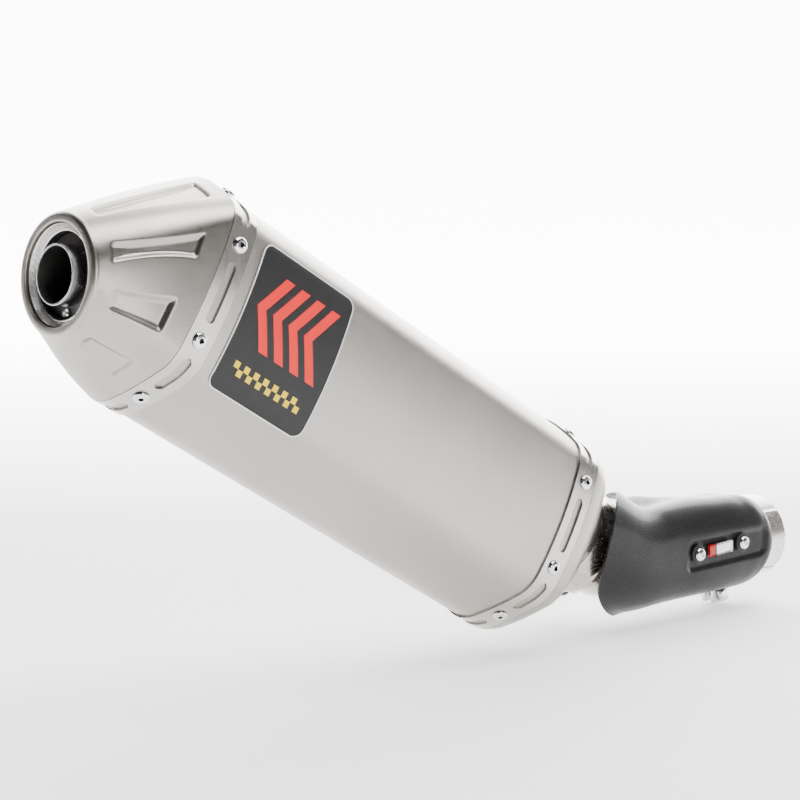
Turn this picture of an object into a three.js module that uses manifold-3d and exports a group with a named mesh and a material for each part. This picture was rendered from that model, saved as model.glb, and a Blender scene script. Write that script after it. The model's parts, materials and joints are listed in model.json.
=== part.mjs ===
// Racing exhaust for a motorcycle: an angular riveted muffler with an oblique outlet, a spring-held
// slip joint, a bent link pipe, its clamp, and a moulded heat shield.
// Millimetres. +X forward, towards the engine, +Y left and +Z up; the muffler hangs on the right side.
// The origin is the centre of the link pipe's inlet end, which slips over the header.

import * as THREE from "three";
import { mergeVertices } from "three/addons/utils/BufferGeometryUtils.js";
import Module from "manifold-3d";

// ---------------------------------------------------------------- driving dimensions

const GAP = 0.3; // between pieces that seat on one another
const PITCH = THREE.MathUtils.degToRad(29.4); // the muffler rises towards the rear
const SHEET = 1.0; // sleeve, strap and skirt sheet

// Six-sided muffler section, as arcs that meet on a common normal. Angles turn from the side (0)
// to the top or bottom (90); the slope's radius is worked out so that the arcs meet at the middle.
const SECTION = {
  halfWidth: 54,
  sideRadius: 240,
  sideEnd: 9,
  upper: { cornerRadius: 22, cornerEnd: 63, slopeEnd: 70, vertexRadius: 49 },
  lower: { cornerRadius: 24, cornerEnd: 53, slopeEnd: 64, vertexRadius: 24.5 },
  steps: { side: 2, corner: 3, slope: 2, vertex: 2 },
};

const MUFFLER = { length: 340, strapWidth: 18, strapThickness: SHEET, neckRise: 10 };

const RIVET = {
  headRadius: 4.75,
  headHeight: 2.3,
  shankRadius: 2.4,
  holeRadius: 2.7,
  coreRadius: 1.5,
  bulbRadius: 3.3,
  bulbLength: 2.6,
  sideRise: 29.3,
  slopeReach: 22.8,
};

const STRAP_SLOT = { width: 6.5, endClearance: 11 };

const OUTLET = {
  tilt: THREE.MathUtils.degToRad(23),
  reach: 58.7,
  drop: 26,
  lipWidth: 6.1,
  lipDepth: 3,
  mouthRadius: 28.9,
  wall: 1.2,
  bulge: 1.7,
};
const LIP_RADIUS = OUTLET.mouthRadius + OUTLET.lipWidth;

const SPOUT = { collarWidth: 3.3, wall: 1.3, depth: 6.2, length: 52 };
const SPOUT_RADIUS = OUTLET.mouthRadius - SPOUT.collarWidth;

const INSERT = {
  radius: 17,
  wall: 1.2,
  proud: 0.8,
  length: 70,
  flangeDepth: 10,
  flangeThickness: 1.5,
  screwRadius: 2,
  screwHole: 2.4,
  screwHeadRadius: 2.9,
  screwHeadHeight: 2.2,
  lugLength: 5,
  lugWall: 0.9,
  lugClearance: 0.35, // to the spout
};

const CORE = { radius: 24, wall: 1.2, start: 8, end: MUFFLER.length + 12, holeRadius: 3, rows: 5, around: 4 };
const BULKHEAD = { thickness: 1.2 };

const PIPE = { radius: 28.5, wall: 1.2, straight: 134, bendRadius: 95, tail: 26, slotLength: 26, slotWidth: 2.6 };
const GASKET = { thickness: 3.2, length: 16, setBack: 2 };
const NECK = { wall: 1.5, start: MUFFLER.length + 30, end: MUFFLER.length + 62 };
const NECK_RADIUS = PIPE.radius + GAP + GASKET.thickness + GAP + NECK.wall;

const CLAMP = {
  width: 16,
  thickness: 1.5,
  centre: 42,
  earGap: 5,
  earThickness: 3,
  earLength: 12.5,
  boltRadius: 2.9,
  boltHole: 3.2,
  headRadius: 4.6,
  headHeight: 3.6,
  nutRadius: 5.4,
  nutHeight: 4.6,
};

// Heat shield: a wall around the outer side of the pipe, from under it (-76 degrees), over its outer
// side (0), to past its top (104). Its two ends are given at each angle, as distances along the
// centreline from the pipe's inlet end, and its rise over the pipe at shares of the way between them.
const SHIELD = {
  wall: 1.6,
  angles: [-76, -42, 0, 50, 78, 104],
  front: [40, 28, 21, 27, 36, 42],
  rear: [152, 186, 204, 197, 174, 153],
  stations: [
    { share: 0, rises: [3.8, 4.0, 5.0, 5.0, 4.4, 4.2] },
    { share: 0.024, rises: [4.2, 7.0, 8.0, 9.5, 5.2, 4.6] },
    { share: 0.07, rises: [4.5, 8.3, 9.3, 13.0, 6.0, 4.8] },
    { share: 0.16, rises: [4.9, 8.7, 9.5, 14.6, 6.2, 4.8] },
    { share: 0.28, rises: [5.5, 8.9, 9.5, 15.2, 6.8, 5.0] },
    { share: 0.4, rises: [5.9, 9.1, 9.5, 15.4, 8.2, 6.2] },
    { share: 0.52, rises: [6.3, 9.3, 9.5, 15.2, 7.4, 8.0] },
    { share: 0.63, rises: [6.7, 9.9, 10.6, 14.9, 5.8, 9.8] },
    { share: 0.74, rises: [7.5, 10.9, 12.2, 15.1, 6.8, 10.8] },
    { share: 0.86, rises: [8.9, 12.1, 13.5, 16.1, 9.6, 11.4] },
    { share: 0.95, rises: [10.3, 13.5, 14.5, 16.5, 12.2, 12.2] },
    { share: 1, rises: [12.3, 14.5, 15.1, 16.5, 14.2, 13.4] },
  ],
};

const SHIELD_BOLT = {
  places: { rear: [106, 2], front: [60, 5] }, // distance behind the inlet end, height
  radius: 2.4,
  holeRadius: 2.8,
  headRadius: 4.6,
  headHeight: 3,
  washerRadius: 6.6,
  washerThickness: 1,
  bossRadius: 6,
};

const BADGE = { thickness: 0.4, start: 27, length: 76, top: 42, bottomTurn: 34 };
const SHIELD_BADGE = { length: 24, height: 8, thickness: 0.4 };

// Places along the joint are distances from the pipe's inlet end, along its centreline.
const SPRING = {
  radius: 4.6,
  sleeveRadius: 6.4,
  sleeveWall: 1.5,
  standOff: 13.5,
  turn: 140,
  neckEnd: 203,
  bendEnd: 148,
  tabGap: 2,
  sleeveInset: 6,
  hookWidth: 5,
  hookThickness: 3,
};

const HANGER = {
  station: MUFFLER.length - 40,
  width: 34,
  thickness: 3,
  footBottom: -24,
  footTop: 4,
  standOff: 13,
  earStart: 16,
  holeHeight: 33,
  earTop: 47,
  grommetGroove: 9,
  grommetFlange: 12.5,
  grommetLip: 3,
  bushRadius: 6,
  bushBore: 4.2,
};

// ---------------------------------------------------------------- materials

const finish = (color, roughness, metalness) => new THREE.MeshStandardMaterial({ color, roughness, metalness });
const TITANIUM = finish(0xb4aea6, 0.38, 1);
const BLASTED = finish(0xa9a39b, 0.45, 1);
const POLISHED = finish(0xc2bcb4, 0.22, 1);
const STEEL = finish(0xc9c9cb, 0.25, 1);
const CARBON = finish(0x17181a, 0.25, 0);
const RUBBER = finish(0x151515, 0.8, 0);
const GRAPHITE = finish(0x3a3a3c, 0.9, 0);
const WOOL = finish(0xd8cfae, 0.95, 0);
const LABEL = finish(0x0c0c0d, 0.5, 0);

// ---------------------------------------------------------------- solids

const wasm = await Module();
wasm.setup();

const rad = THREE.MathUtils.degToRad;
const vec = (x, y, z) => new THREE.Vector3(x, y, z);

// Turns a closed mesh the right way round: its faces point out when its volume is positive.
function facingOut(geometry) {
  const p = geometry.getAttribute("position");
  const index = geometry.index.array;
  const [a, b, c] = [new THREE.Vector3(), new THREE.Vector3(), new THREE.Vector3()];
  let volume = 0;
  for (let i = 0; i < index.length; i += 3) {
    a.fromBufferAttribute(p, index[i]);
    b.fromBufferAttribute(p, index[i + 1]);
    c.fromBufferAttribute(p, index[i + 2]);
    volume += a.dot(b.cross(c));
  }
  if (volume < 0) index.reverse();
  return geometry;
}

function fromGrid(rings, faces) {
  const geometry = new THREE.BufferGeometry();
  const flat = rings.flat().flatMap((p) => [p.x, p.y, p.z]);
  geometry.setAttribute("position", new THREE.Float32BufferAttribute(flat, 3));
  geometry.setIndex(faces);
  return facingOut(geometry);
}

// A ring-shaped wall: closed rings of equal count, each joined to the next and the last to the first.
function wallOf(rings) {
  const [count, around] = [rings.length, rings[0].length];
  const faces = [];
  for (let i = 0; i < count; i++)
    for (let j = 0; j < around; j++) {
      const [a, b] = [i * around + j, i * around + ((j + 1) % around)];
      const [c, d] = [((i + 1) % count) * around + j, ((i + 1) % count) * around + ((j + 1) % around)];
      faces.push(a, b, c, b, d, c);
    }
  return fromGrid(rings, faces);
}

// A curved panel with thickness: two open grids of points, one for each side.
function panelOf(outer, inner) {
  const [rows, columns] = [outer.length, outer[0].length];
  const loops = outer.map((row, i) => [...row, ...[...inner[i]].reverse()]);
  const around = columns * 2;
  const faces = [];
  for (let i = 0; i + 1 < rows; i++)
    for (let j = 0; j < around; j++) {
      const [a, b] = [i * around + j, i * around + ((j + 1) % around)];
      faces.push(a, b, a + around, b, b + around, a + around);
    }
  for (const [row, turned] of [[0, true], [rows - 1, false]])
    for (let j = 0; j + 1 < columns; j++) {
      const [a, b] = [row * around + j, row * around + j + 1];
      const [c, d] = [row * around + around - 1 - j, row * around + around - 2 - j];
      faces.push(...(turned ? [a, c, b, b, c, d] : [a, b, c, b, d, c]));
    }
  return fromGrid(loops, faces);
}

// A turned piece on the Y axis, from [radius, height] pairs.
function turned(profile, segments = 32) {
  const points = profile.map(([r, h]) => new THREE.Vector2(r, h));
  const lathe = new THREE.LatheGeometry(points, segments);
  lathe.deleteAttribute("normal");
  lathe.deleteAttribute("uv");
  return facingOut(mergeVertices(lathe, 1e-4));
}

// A turned ring with a rectangular section.
const ringOf = (inner, outer, from, to, segments) =>
  turned([[inner, from], [outer, from], [outer, to], [inner, to], [inner, from]], segments);

const rodOf = (radius, from, to, segments) => turned([[0, from], [radius, from], [radius, to], [0, to]], segments);

// An outline in two axes, pushed along the third: the outline's x and y become Y and Z of the part.
function pushedAlongX(shape, from, to) {
  const g = new THREE.ExtrudeGeometry(shape, { depth: to - from, bevelEnabled: false, curveSegments: 20 });
  g.deleteAttribute("normal");
  g.deleteAttribute("uv");
  g.applyMatrix4(new THREE.Matrix4().makeBasis(vec(0, 1, 0), vec(0, 0, 1), vec(1, 0, 0)));
  return facingOut(mergeVertices(g.translate(from, 0, 0), 1e-4));
}

function asManifold(geometry) {
  const merged = mergeVertices(geometry, 1e-4);
  return new wasm.Manifold(
    new wasm.Mesh({
      numProp: 3,
      vertProperties: merged.getAttribute("position").array,
      triVerts: new Uint32Array(merged.index.array),
    }),
  );
}

function cut(geometry, ...tools) {
  const left = tools.reduce((solid, tool) => solid.subtract(asManifold(tool)), asManifold(geometry));
  const mesh = left.getMesh();
  const result = new THREE.BufferGeometry();
  result.setAttribute("position", new THREE.BufferAttribute(mesh.vertProperties, 3));
  result.setIndex([...mesh.triVerts]);
  return result;
}

// Points the Y axis of a turned piece along a direction.
function along(geometry, direction, at) {
  const turn = new THREE.Quaternion().setFromUnitVectors(vec(0, 1, 0), direction.clone().normalize());
  return geometry.applyQuaternion(turn).translate(at.x, at.y, at.z);
}

function named(name, geometry, material, parent) {
  const mesh = new THREE.Mesh(geometry, material);
  mesh.name = name;
  parent.add(mesh);
  return mesh;
}

// ---------------------------------------------------------------- muffler section

// A quarter of the section from the side to the middle: points { y, z, turn } with the normal's angle.
function quarter(half) {
  const { halfWidth, sideRadius, sideEnd, steps } = SECTION;
  const cos = (degrees) => Math.cos(rad(degrees));
  const fixed =
    sideRadius * (1 - cos(sideEnd)) +
    half.cornerRadius * (cos(sideEnd) - cos(half.cornerEnd)) +
    half.vertexRadius * cos(half.slopeEnd);
  const slopeRadius = (halfWidth - fixed) / (cos(half.cornerEnd) - cos(half.slopeEnd));
  const arcs = [
    { radius: sideRadius, from: 0, to: sideEnd, steps: steps.side },
    { radius: half.cornerRadius, from: sideEnd, to: half.cornerEnd, steps: steps.corner },
    { radius: slopeRadius, from: half.cornerEnd, to: half.slopeEnd, steps: steps.slope },
    { radius: half.vertexRadius, from: half.slopeEnd, to: 90, steps: steps.vertex },
  ];
  let [y, z] = [halfWidth, 0];
  const points = [{ y, z, turn: 0 }];
  for (const arc of arcs) {
    const start = { y, z };
    arc.start = start;
    for (let i = 1; i <= arc.steps; i++) {
      const turn = arc.from + ((arc.to - arc.from) * i) / arc.steps;
      y = start.y - arc.radius * (cos(arc.from) - cos(turn));
      z = start.z + arc.radius * (Math.sin(rad(turn)) - Math.sin(rad(arc.from)));
      points.push({ y, z, turn });
    }
  }
  points[points.length - 1].y = 0;
  return { points, slope: arcs[2] };
}

const UPPER = quarter(SECTION.upper);
const LOWER = quarter(SECTION.lower);

// The whole section, anticlockwise from the left side, as { y, z, turn } all round.
const OUTLINE = [
  ...UPPER.points.map(({ y, z, turn }) => ({ y, z, turn })),
  ...UPPER.points.slice(1, -1).reverse().map(({ y, z, turn }) => ({ y: -y, z, turn: 180 - turn })),
  ...LOWER.points.slice(0).map(({ y, z, turn }) => ({ y: -y, z: -z, turn: 180 + turn })),
  ...LOWER.points.slice(1, -1).reverse().map(({ y, z, turn }) => ({ y, z: -z, turn: 360 - turn })),
];

// The section pulled in by a distance, at a station along the muffler.
const sectionRing = (x, inset) =>
  OUTLINE.map(({ y, z, turn }) => vec(x, y - inset * Math.cos(rad(turn)), z - inset * Math.sin(rad(turn))));

// A circle with its points at the section's normals, so that a wall can run from one to the other.
const circleRing = (centre, radius, up) =>
  OUTLINE.map(({ turn }) =>
    centre.clone().addScaledVector(vec(0, 1, 0), radius * Math.cos(rad(turn))).addScaledVector(up, radius * Math.sin(rad(turn))),
  );

// A hole made of that ring is narrower at its flats: the radius that still clears a round piece.
const widestStep = Math.max(...OUTLINE.slice(1).map(({ turn }, i) => turn - OUTLINE[i].turn));
const clearing = (radius) => (radius + GAP) / Math.cos(rad(widestStep / 2));

const blendRings = (a, b, share, swell = 0) =>
  a.map((p, i) => {
    const { turn } = OUTLINE[i];
    return p.clone().lerp(b[i], share).add(vec(0, swell * Math.cos(rad(turn)), swell * Math.sin(rad(turn))));
  });

// Where the rivets go: a point on the section and its normal, two on each side and on each slope.
function rivetPlaces() {
  const places = [];
  const sideTurn = Math.asin(RIVET.sideRise / SECTION.sideRadius);
  const sideReach = SECTION.halfWidth - SECTION.sideRadius * (1 - Math.cos(sideTurn));
  for (const [half, sign] of [[UPPER, 1], [LOWER, -1]]) {
    const { slope } = half;
    const cosTurn = Math.cos(rad(slope.from)) - (slope.start.y - RIVET.slopeReach) / slope.radius;
    const turn = Math.acos(cosTurn);
    const rise = slope.start.z + slope.radius * (Math.sin(turn) - Math.sin(rad(slope.from)));
    const level = sign > 0 ? "upper" : "lower";
    for (const [side, across] of [["right", -1], ["left", 1]]) {
      places.push({
        name: `${side}_${level}`,
        at: vec(0, across * sideReach, sign * RIVET.sideRise),
        normal: vec(0, across * Math.cos(sideTurn), sign * Math.sin(sideTurn)),
      });
      places.push({
        name: `${sign > 0 ? "top" : "bottom"}_${side}`,
        at: vec(0, across * RIVET.slopeReach, sign * rise),
        normal: vec(0, across * cosTurn, sign * Math.sin(turn)),
      });
    }
  }
  return places;
}

const RIVETS = rivetPlaces();
const SLEEVE_INSET = MUFFLER.strapThickness + GAP;
const SKIRT_INSET = SLEEVE_INSET + SHEET + GAP;
const BORE_INSET = SKIRT_INSET + SHEET;
const OUTLET_STRAP = [0, MUFFLER.strapWidth];
const INLET_STRAP = [MUFFLER.length - MUFFLER.strapWidth, MUFFLER.length];
const strapMiddle = ([from, to]) => (from + to) / 2;

// The holes that a row of rivets passes through.
function rivetHoles(station) {
  return RIVETS.map(({ at, normal }) =>
    along(rodOf(RIVET.holeRadius, -14, 6, 8), normal, at.clone().setX(station)),
  );
}

// ---------------------------------------------------------------- muffler shell

const exhaust = new THREE.Group();
const muffler = new THREE.Group();
exhaust.add(muffler);

// The link pipe's centreline, by the distance from its inlet end: straight, bend, straight.
const BEND_LENGTH = PIPE.bendRadius * PITCH;
function pipeFrame(s) {
  const bent = THREE.MathUtils.clamp((s - PIPE.straight) / BEND_LENGTH, 0, 1) * PITCH;
  const back = vec(-Math.cos(bent), 0, Math.sin(bent));
  const centre = vec(
    -Math.min(s, PIPE.straight) - PIPE.bendRadius * Math.sin(bent),
    0,
    PIPE.bendRadius * (1 - Math.cos(bent)),
  ).addScaledVector(back, Math.max(0, s - PIPE.straight - BEND_LENGTH));
  return { centre, back, up: vec(Math.sin(bent), 0, Math.cos(bent)) };
}

const bendEnd = pipeFrame(PIPE.straight + BEND_LENGTH);
muffler.rotation.y = PITCH;
muffler.position
  .copy(bendEnd.centre)
  .addScaledVector(bendEnd.back, NECK.end)
  .addScaledVector(bendEnd.up, -MUFFLER.neckRise);

function makeSleeve() {
  const [from, to] = [OUTLET_STRAP[0], INLET_STRAP[1]];
  const shell = wallOf([
    sectionRing(from, SLEEVE_INSET),
    sectionRing(to, SLEEVE_INSET),
    sectionRing(to, SLEEVE_INSET + SHEET),
    sectionRing(from, SLEEVE_INSET + SHEET),
  ]);
  const holes = [...rivetHoles(strapMiddle(OUTLET_STRAP)), ...rivetHoles(strapMiddle(INLET_STRAP))];
  named("outer_sleeve", cut(shell, ...holes), TITANIUM, muffler);
}

// A riveted band with a long slot between each two rivets, through which the sleeve shows.
function makeStrap(name, [from, to]) {
  const band = wallOf([
    sectionRing(from, 0),
    sectionRing(to, 0),
    sectionRing(to, MUFFLER.strapThickness),
    sectionRing(from, MUFFLER.strapThickness),
  ]);
  const middle = (from + to) / 2;
  const ordered = [...RIVETS].sort((a, b) => Math.atan2(a.at.z, a.at.y) - Math.atan2(b.at.z, b.at.y));
  const slots = ordered.map((here, i) => slotCutter(here, ordered[(i + 1) % ordered.length], middle));
  named(name, cut(band, ...slots, ...rivetHoles(middle)), POLISHED, muffler);
}

// A slot between two rivets follows the section's outline, which is walked from one to the other.
function slotCutter(from, to, station) {
  const angleOf = (p) => (Math.atan2(p.z, p.y) + 2 * Math.PI) % (2 * Math.PI);
  const [start, end] = [angleOf(from.at), angleOf(to.at)];
  const inside = OUTLINE.map((p) => ({ ...p, angle: angleOf(p) })).filter(({ angle }) =>
    start < end ? angle > start && angle < end : angle > start || angle < end,
  );
  inside.sort((a, b) => ((a.angle - start + 2 * Math.PI) % (2 * Math.PI)) - ((b.angle - start + 2 * Math.PI) % (2 * Math.PI)));
  const path = [from.at, ...inside.map(({ y, z }) => vec(0, y, z)), to.at].map((p) => p.clone().setX(0));
  const curve = new THREE.CurvePath();
  for (let i = 0; i + 1 < path.length; i++) curve.add(new THREE.LineCurve3(path[i], path[i + 1]));
  const length = curve.getLength();
  const half = STRAP_SLOT.width / 2;
  const reach = length - 2 * STRAP_SLOT.endClearance;
  const widths = [[0, 0.35], [0.05, 0.8], [0.12, 1], [0.31, 1], [0.5, 1], [0.69, 1], [0.88, 1], [0.95, 0.8], [1, 0.35]];
  const rows = widths.map(([share, open]) => {
    const p = curve.getPointAt((STRAP_SLOT.endClearance + share * reach) / length);
    const q = curve.getPointAt((STRAP_SLOT.endClearance + Math.min(1, share + 0.01) * reach) / length);
    const r = curve.getPointAt((STRAP_SLOT.endClearance + Math.max(0, share - 0.01) * reach) / length);
    const run = q.sub(r).normalize();
    const normal = vec(0, run.z, -run.y);
    const side = (x, out) => p.clone().addScaledVector(normal, out).setX(station + x * half * open);
    return { outer: [side(-1, 4), side(1, 4)], inner: [side(-1, -4), side(1, -4)] };
  });
  return panelOf(rows.map((r) => r.outer), rows.map((r) => r.inner));
}

const outletAxis = vec(Math.cos(OUTLET.tilt), 0, Math.sin(OUTLET.tilt)); // into the muffler
const outletUp = vec(-Math.sin(OUTLET.tilt), 0, Math.cos(OUTLET.tilt));
const outletCentre = vec(-OUTLET.reach, 0, -OUTLET.drop);
const outletRing = (radius, depth) =>
  circleRing(outletCentre.clone().addScaledVector(outletAxis, depth), radius, outletUp);

function makeOutletCap() {
  const [front, skirtEnd] = [-GAP, OUTLET_STRAP[1]];
  const rim = sectionRing(front, 0);
  const rimInside = sectionRing(front, OUTLET.wall);
  const lip = outletRing(LIP_RADIUS, OUTLET.lipDepth);
  const lipInside = outletRing(LIP_RADIUS - OUTLET.wall, OUTLET.lipDepth + OUTLET.wall / 2);
  const swell = (share) => OUTLET.bulge * Math.sin(Math.PI * share);
  const outside = [0, 0.06, 0.3, 0.6, 0.9, 1].map((t) => blendRings(rim, lip, t, swell(t)));
  const inside = [1, 0.6, 0.3, 0.06].map((t) => blendRings(rimInside, lipInside, t, swell(t)));
  const { mouthRadius, lipDepth, wall } = OUTLET;
  const shell = wallOf([
    sectionRing(skirtEnd, SKIRT_INSET),
    sectionRing(front, SKIRT_INSET),
    ...outside,
    outletRing(LIP_RADIUS - 1.6, 0.8),
    outletRing((LIP_RADIUS + mouthRadius) / 2, 0),
    outletRing(mouthRadius, 0.7),
    outletRing(mouthRadius, lipDepth),
    ...inside,
    sectionRing(front - wall, BORE_INSET),
    sectionRing(skirtEnd, BORE_INSET),
  ]);
  named("outlet_cap", cut(shell, ...rivetHoles(strapMiddle(OUTLET_STRAP))), BLASTED, muffler);
}

// The spout: a flared collar behind the cap's mouth that runs back as the tube the insert sits in.
function makeSpout() {
  const { wall, depth, length } = SPOUT;
  const radius = SPOUT_RADIUS;
  const flare = OUTLET.mouthRadius * Math.cos(rad(widestStep / 2)) - GAP;
  const end = depth + length;
  const profile = [
    [radius - wall, depth],
    [flare - wall / 2, OUTLET.lipDepth - 1.4],
    [flare, OUTLET.lipDepth - 1],
    [flare, OUTLET.lipDepth + 0.6],
    [radius, depth + 1.6],
    [radius, end],
    [radius - wall, end],
    [radius - wall, depth],
  ];
  named("outlet_tube", along(turned(profile, 28), outletAxis, outletCentre), POLISHED, muffler);
}

const LUG_RADIUS = INSERT.screwHole + INSERT.lugWall;
const screwOrbit = SPOUT_RADIUS - SPOUT.wall - INSERT.lugClearance - LUG_RADIUS;
const onOutlet = (depth, drop) =>
  outletCentre.clone().addScaledVector(outletAxis, depth).addScaledVector(outletUp, -drop);

function makeInsert() {
  const { radius, wall, proud, length, flangeDepth, flangeThickness } = INSERT;
  const flange = SPOUT_RADIUS - SPOUT.wall - GAP;
  const inner = radius - wall;
  const profile = [
    [inner, -proud],
    [radius, -proud],
    [radius, flangeDepth],
    [flange, flangeDepth],
    [flange, flangeDepth + flangeThickness],
    [radius, flangeDepth + flangeThickness],
    [radius, length],
    [inner, length],
    [inner, -proud],
  ];
  const body = along(turned(profile, 28), outletAxis, outletCentre);
  const hole = along(rodOf(INSERT.screwHole, flangeDepth - 3, flangeDepth + 6, 12), outletAxis, onOutlet(0, screwOrbit));
  named("noise_insert", cut(body, hole), STEEL, muffler);

  const lugFrom = flangeDepth + flangeThickness + GAP;
  const lugTo = lugFrom + INSERT.lugLength;
  const screw = turned(
    [
      [0, flangeDepth - GAP - INSERT.screwHeadHeight],
      [INSERT.screwHeadRadius * 0.6, flangeDepth - GAP - INSERT.screwHeadHeight],
      [INSERT.screwHeadRadius, flangeDepth - GAP - INSERT.screwHeadHeight / 2],
      [INSERT.screwHeadRadius, flangeDepth - GAP],
      [INSERT.screwRadius, flangeDepth - GAP],
      [INSERT.screwRadius, lugTo + 1],
      [0, lugTo + 1],
    ],
    12,
  );
  named("insert_screw", along(screw, outletAxis, onOutlet(0, screwOrbit)), STEEL, muffler);
  const lug = along(ringOf(INSERT.screwHole, LUG_RADIUS, lugFrom, lugTo, 12), outletAxis, onOutlet(0, screwOrbit));
  named("insert_lug", lug, STEEL, muffler);
}

function makeInletCap() {
  const [skirtEnd, back] = [INLET_STRAP[0], INLET_STRAP[1] + GAP];
  const neckCentre = (x) => vec(x, 0, MUFFLER.neckRise);
  const up = vec(0, 0, 1);
  const rim = sectionRing(back, 0);
  const rimInside = sectionRing(back, OUTLET.wall);
  const mouth = clearing(NECK_RADIUS);
  const neck = circleRing(neckCentre(NECK.start + 5), mouth + 2.4, up);
  const dome = (ring, target, share, x) => blendRings(ring, target, share).map((p) => p.setX(x));
  const shell = wallOf([
    sectionRing(skirtEnd, SKIRT_INSET),
    sectionRing(back, SKIRT_INSET),
    rim,
    dome(rim, neck, 0.04, back + 5),
    dome(rim, neck, 0.22, back + 12),
    dome(rim, neck, 0.62, back + 19),
    circleRing(neckCentre(NECK.start + 3), mouth + 2.4, up),
    circleRing(neckCentre(NECK.start + 7), mouth + 1.2, up),
    circleRing(neckCentre(NECK.start + 7), mouth, up),
    circleRing(neckCentre(NECK.start + 2), mouth, up),
    dome(rimInside, neck, 0.62, back + 17.4),
    dome(rimInside, neck, 0.22, back + 10.4),
    dome(rimInside, neck, 0.04, back + 4),
    sectionRing(back + OUTLET.wall, BORE_INSET),
    sectionRing(skirtEnd, BORE_INSET),
  ]);
  named("inlet_cap", cut(shell, ...rivetHoles(strapMiddle(INLET_STRAP))), BLASTED, muffler);
}

function makeRivets() {
  const { headRadius, headHeight, shankRadius, coreRadius, bulbRadius, bulbLength } = RIVET;
  const grip = BORE_INSET + 2 * GAP;
  const profile = [
    [0, headHeight - 1.3],
    [coreRadius, headHeight - 1.3],
    [coreRadius, headHeight],
    [headRadius * 0.7, headHeight * 0.75],
    [headRadius, GAP + 0.35],
    [headRadius, GAP],
    [shankRadius, GAP],
    [shankRadius, -grip],
    [bulbRadius, -grip],
    [bulbRadius * 0.8, -grip - bulbLength],
    [0, -grip - bulbLength],
  ];
  for (const [band, station] of [["outlet", strapMiddle(OUTLET_STRAP)], ["inlet", strapMiddle(INLET_STRAP)]])
    for (const { name, at, normal } of RIVETS) {
      const rivet = named(`rivet_${band}_${name}`, turned(profile, 8), STEEL, muffler);
      rivet.position.copy(at).setX(station);
      rivet.quaternion.setFromUnitVectors(vec(0, 1, 0), normal);
    }
}

// ---------------------------------------------------------------- inside the muffler

function makeInternals() {
  const alongX = vec(1, 0, 0);
  const none = vec(0, 0, 0);
  const hole = clearing(CORE.radius);
  const packed = [OUTLET_STRAP[1] + GAP, INLET_STRAP[0] - GAP];

  const plate = (name, from) => {
    const [near, far] = [from, from + BULKHEAD.thickness];
    const solid = wallOf([
      sectionRing(near, SKIRT_INSET),
      sectionRing(far, SKIRT_INSET),
      circleRing(vec(far, 0, 0), hole, vec(0, 0, 1)),
      circleRing(vec(near, 0, 0), hole, vec(0, 0, 1)),
    ]);
    named(name, solid, STEEL, muffler);
  };
  plate("outlet_bulkhead", packed[0]);
  plate("inlet_bulkhead", packed[1] - BULKHEAD.thickness);

  const tube = along(ringOf(CORE.radius - CORE.wall, CORE.radius, CORE.start, CORE.end, 20), alongX, none);
  const pitch = (packed[1] - packed[0]) / (CORE.rows + 1);
  const holes = [];
  for (let row = 1; row <= CORE.rows; row++)
    for (let i = 0; i < CORE.around / 2; i++) {
      const turn = ((i + (row % 2) / 2) * 2 * Math.PI) / CORE.around;
      const across = vec(0, Math.cos(turn), Math.sin(turn));
      const drill = rodOf(CORE.holeRadius, -CORE.radius - 2, CORE.radius + 2, 8);
      holes.push(along(drill, across, vec(packed[0] + row * pitch, 0, 0)));
    }
  named("core_tube", cut(tube, ...holes), STEEL, muffler);

  const [from, to] = [packed[0] + BULKHEAD.thickness + GAP, packed[1] - BULKHEAD.thickness - GAP];
  const wool = wallOf([
    sectionRing(from, SKIRT_INSET),
    sectionRing(to, SKIRT_INSET),
    circleRing(vec(to, 0, 0), hole, vec(0, 0, 1)),
    circleRing(vec(from, 0, 0), hole, vec(0, 0, 1)),
  ]);
  named("packing", wool, WOOL, muffler);

  const up = vec(0, 0, 1);
  const wide = NECK_RADIUS - NECK.wall;
  const [narrowAt, wideAt] = [CORE.end - 12, NECK.start - GAP];
  const raised = vec(wideAt, 0, MUFFLER.neckRise);
  const cone = wallOf([
    circleRing(vec(narrowAt, 0, 0), hole + CORE.wall, up),
    circleRing(vec(CORE.end, 0, 0), hole + CORE.wall, up),
    circleRing(raised, wide, up),
    circleRing(raised, wide - CORE.wall, up),
    circleRing(vec(CORE.end, 0, 0), hole, up),
    circleRing(vec(narrowAt, 0, 0), hole, up),
  ]);
  named("inlet_cone", cone, STEEL, muffler);
}

// ---------------------------------------------------------------- slip joint and its springs

function makeNeck() {
  const centre = vec(0, 0, MUFFLER.neckRise);
  const alongX = vec(1, 0, 0);
  const neck = ringOf(NECK_RADIUS - NECK.wall, NECK_RADIUS, NECK.start, NECK.end, 28);
  named("inlet_neck", along(neck, alongX, centre), POLISHED, muffler);
}

function makeGasket() {
  const end = NECK.end - GASKET.setBack;
  const gasket = ringOf(PIPE.radius + GAP, PIPE.radius + GAP + GASKET.thickness, end - GASKET.length, end, 28);
  const mesh = named("joint_gasket", along(gasket, vec(1, 0, 0), vec(0, 0, MUFFLER.neckRise)), GRAPHITE, exhaust);
  mesh.position.copy(muffler.position);
  mesh.rotation.copy(muffler.rotation);
}

// A point beside the joint: a distance along the pipe's centreline, a distance out and a turn.
function besideJoint(s, distance, turn) {
  const { centre, back, up } = pipeFrame(s);
  const out = vec(0, -Math.cos(rad(turn)), 0).addScaledVector(up, Math.sin(rad(turn)));
  return { at: centre.clone().addScaledVector(out, distance), out, back };
}

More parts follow.
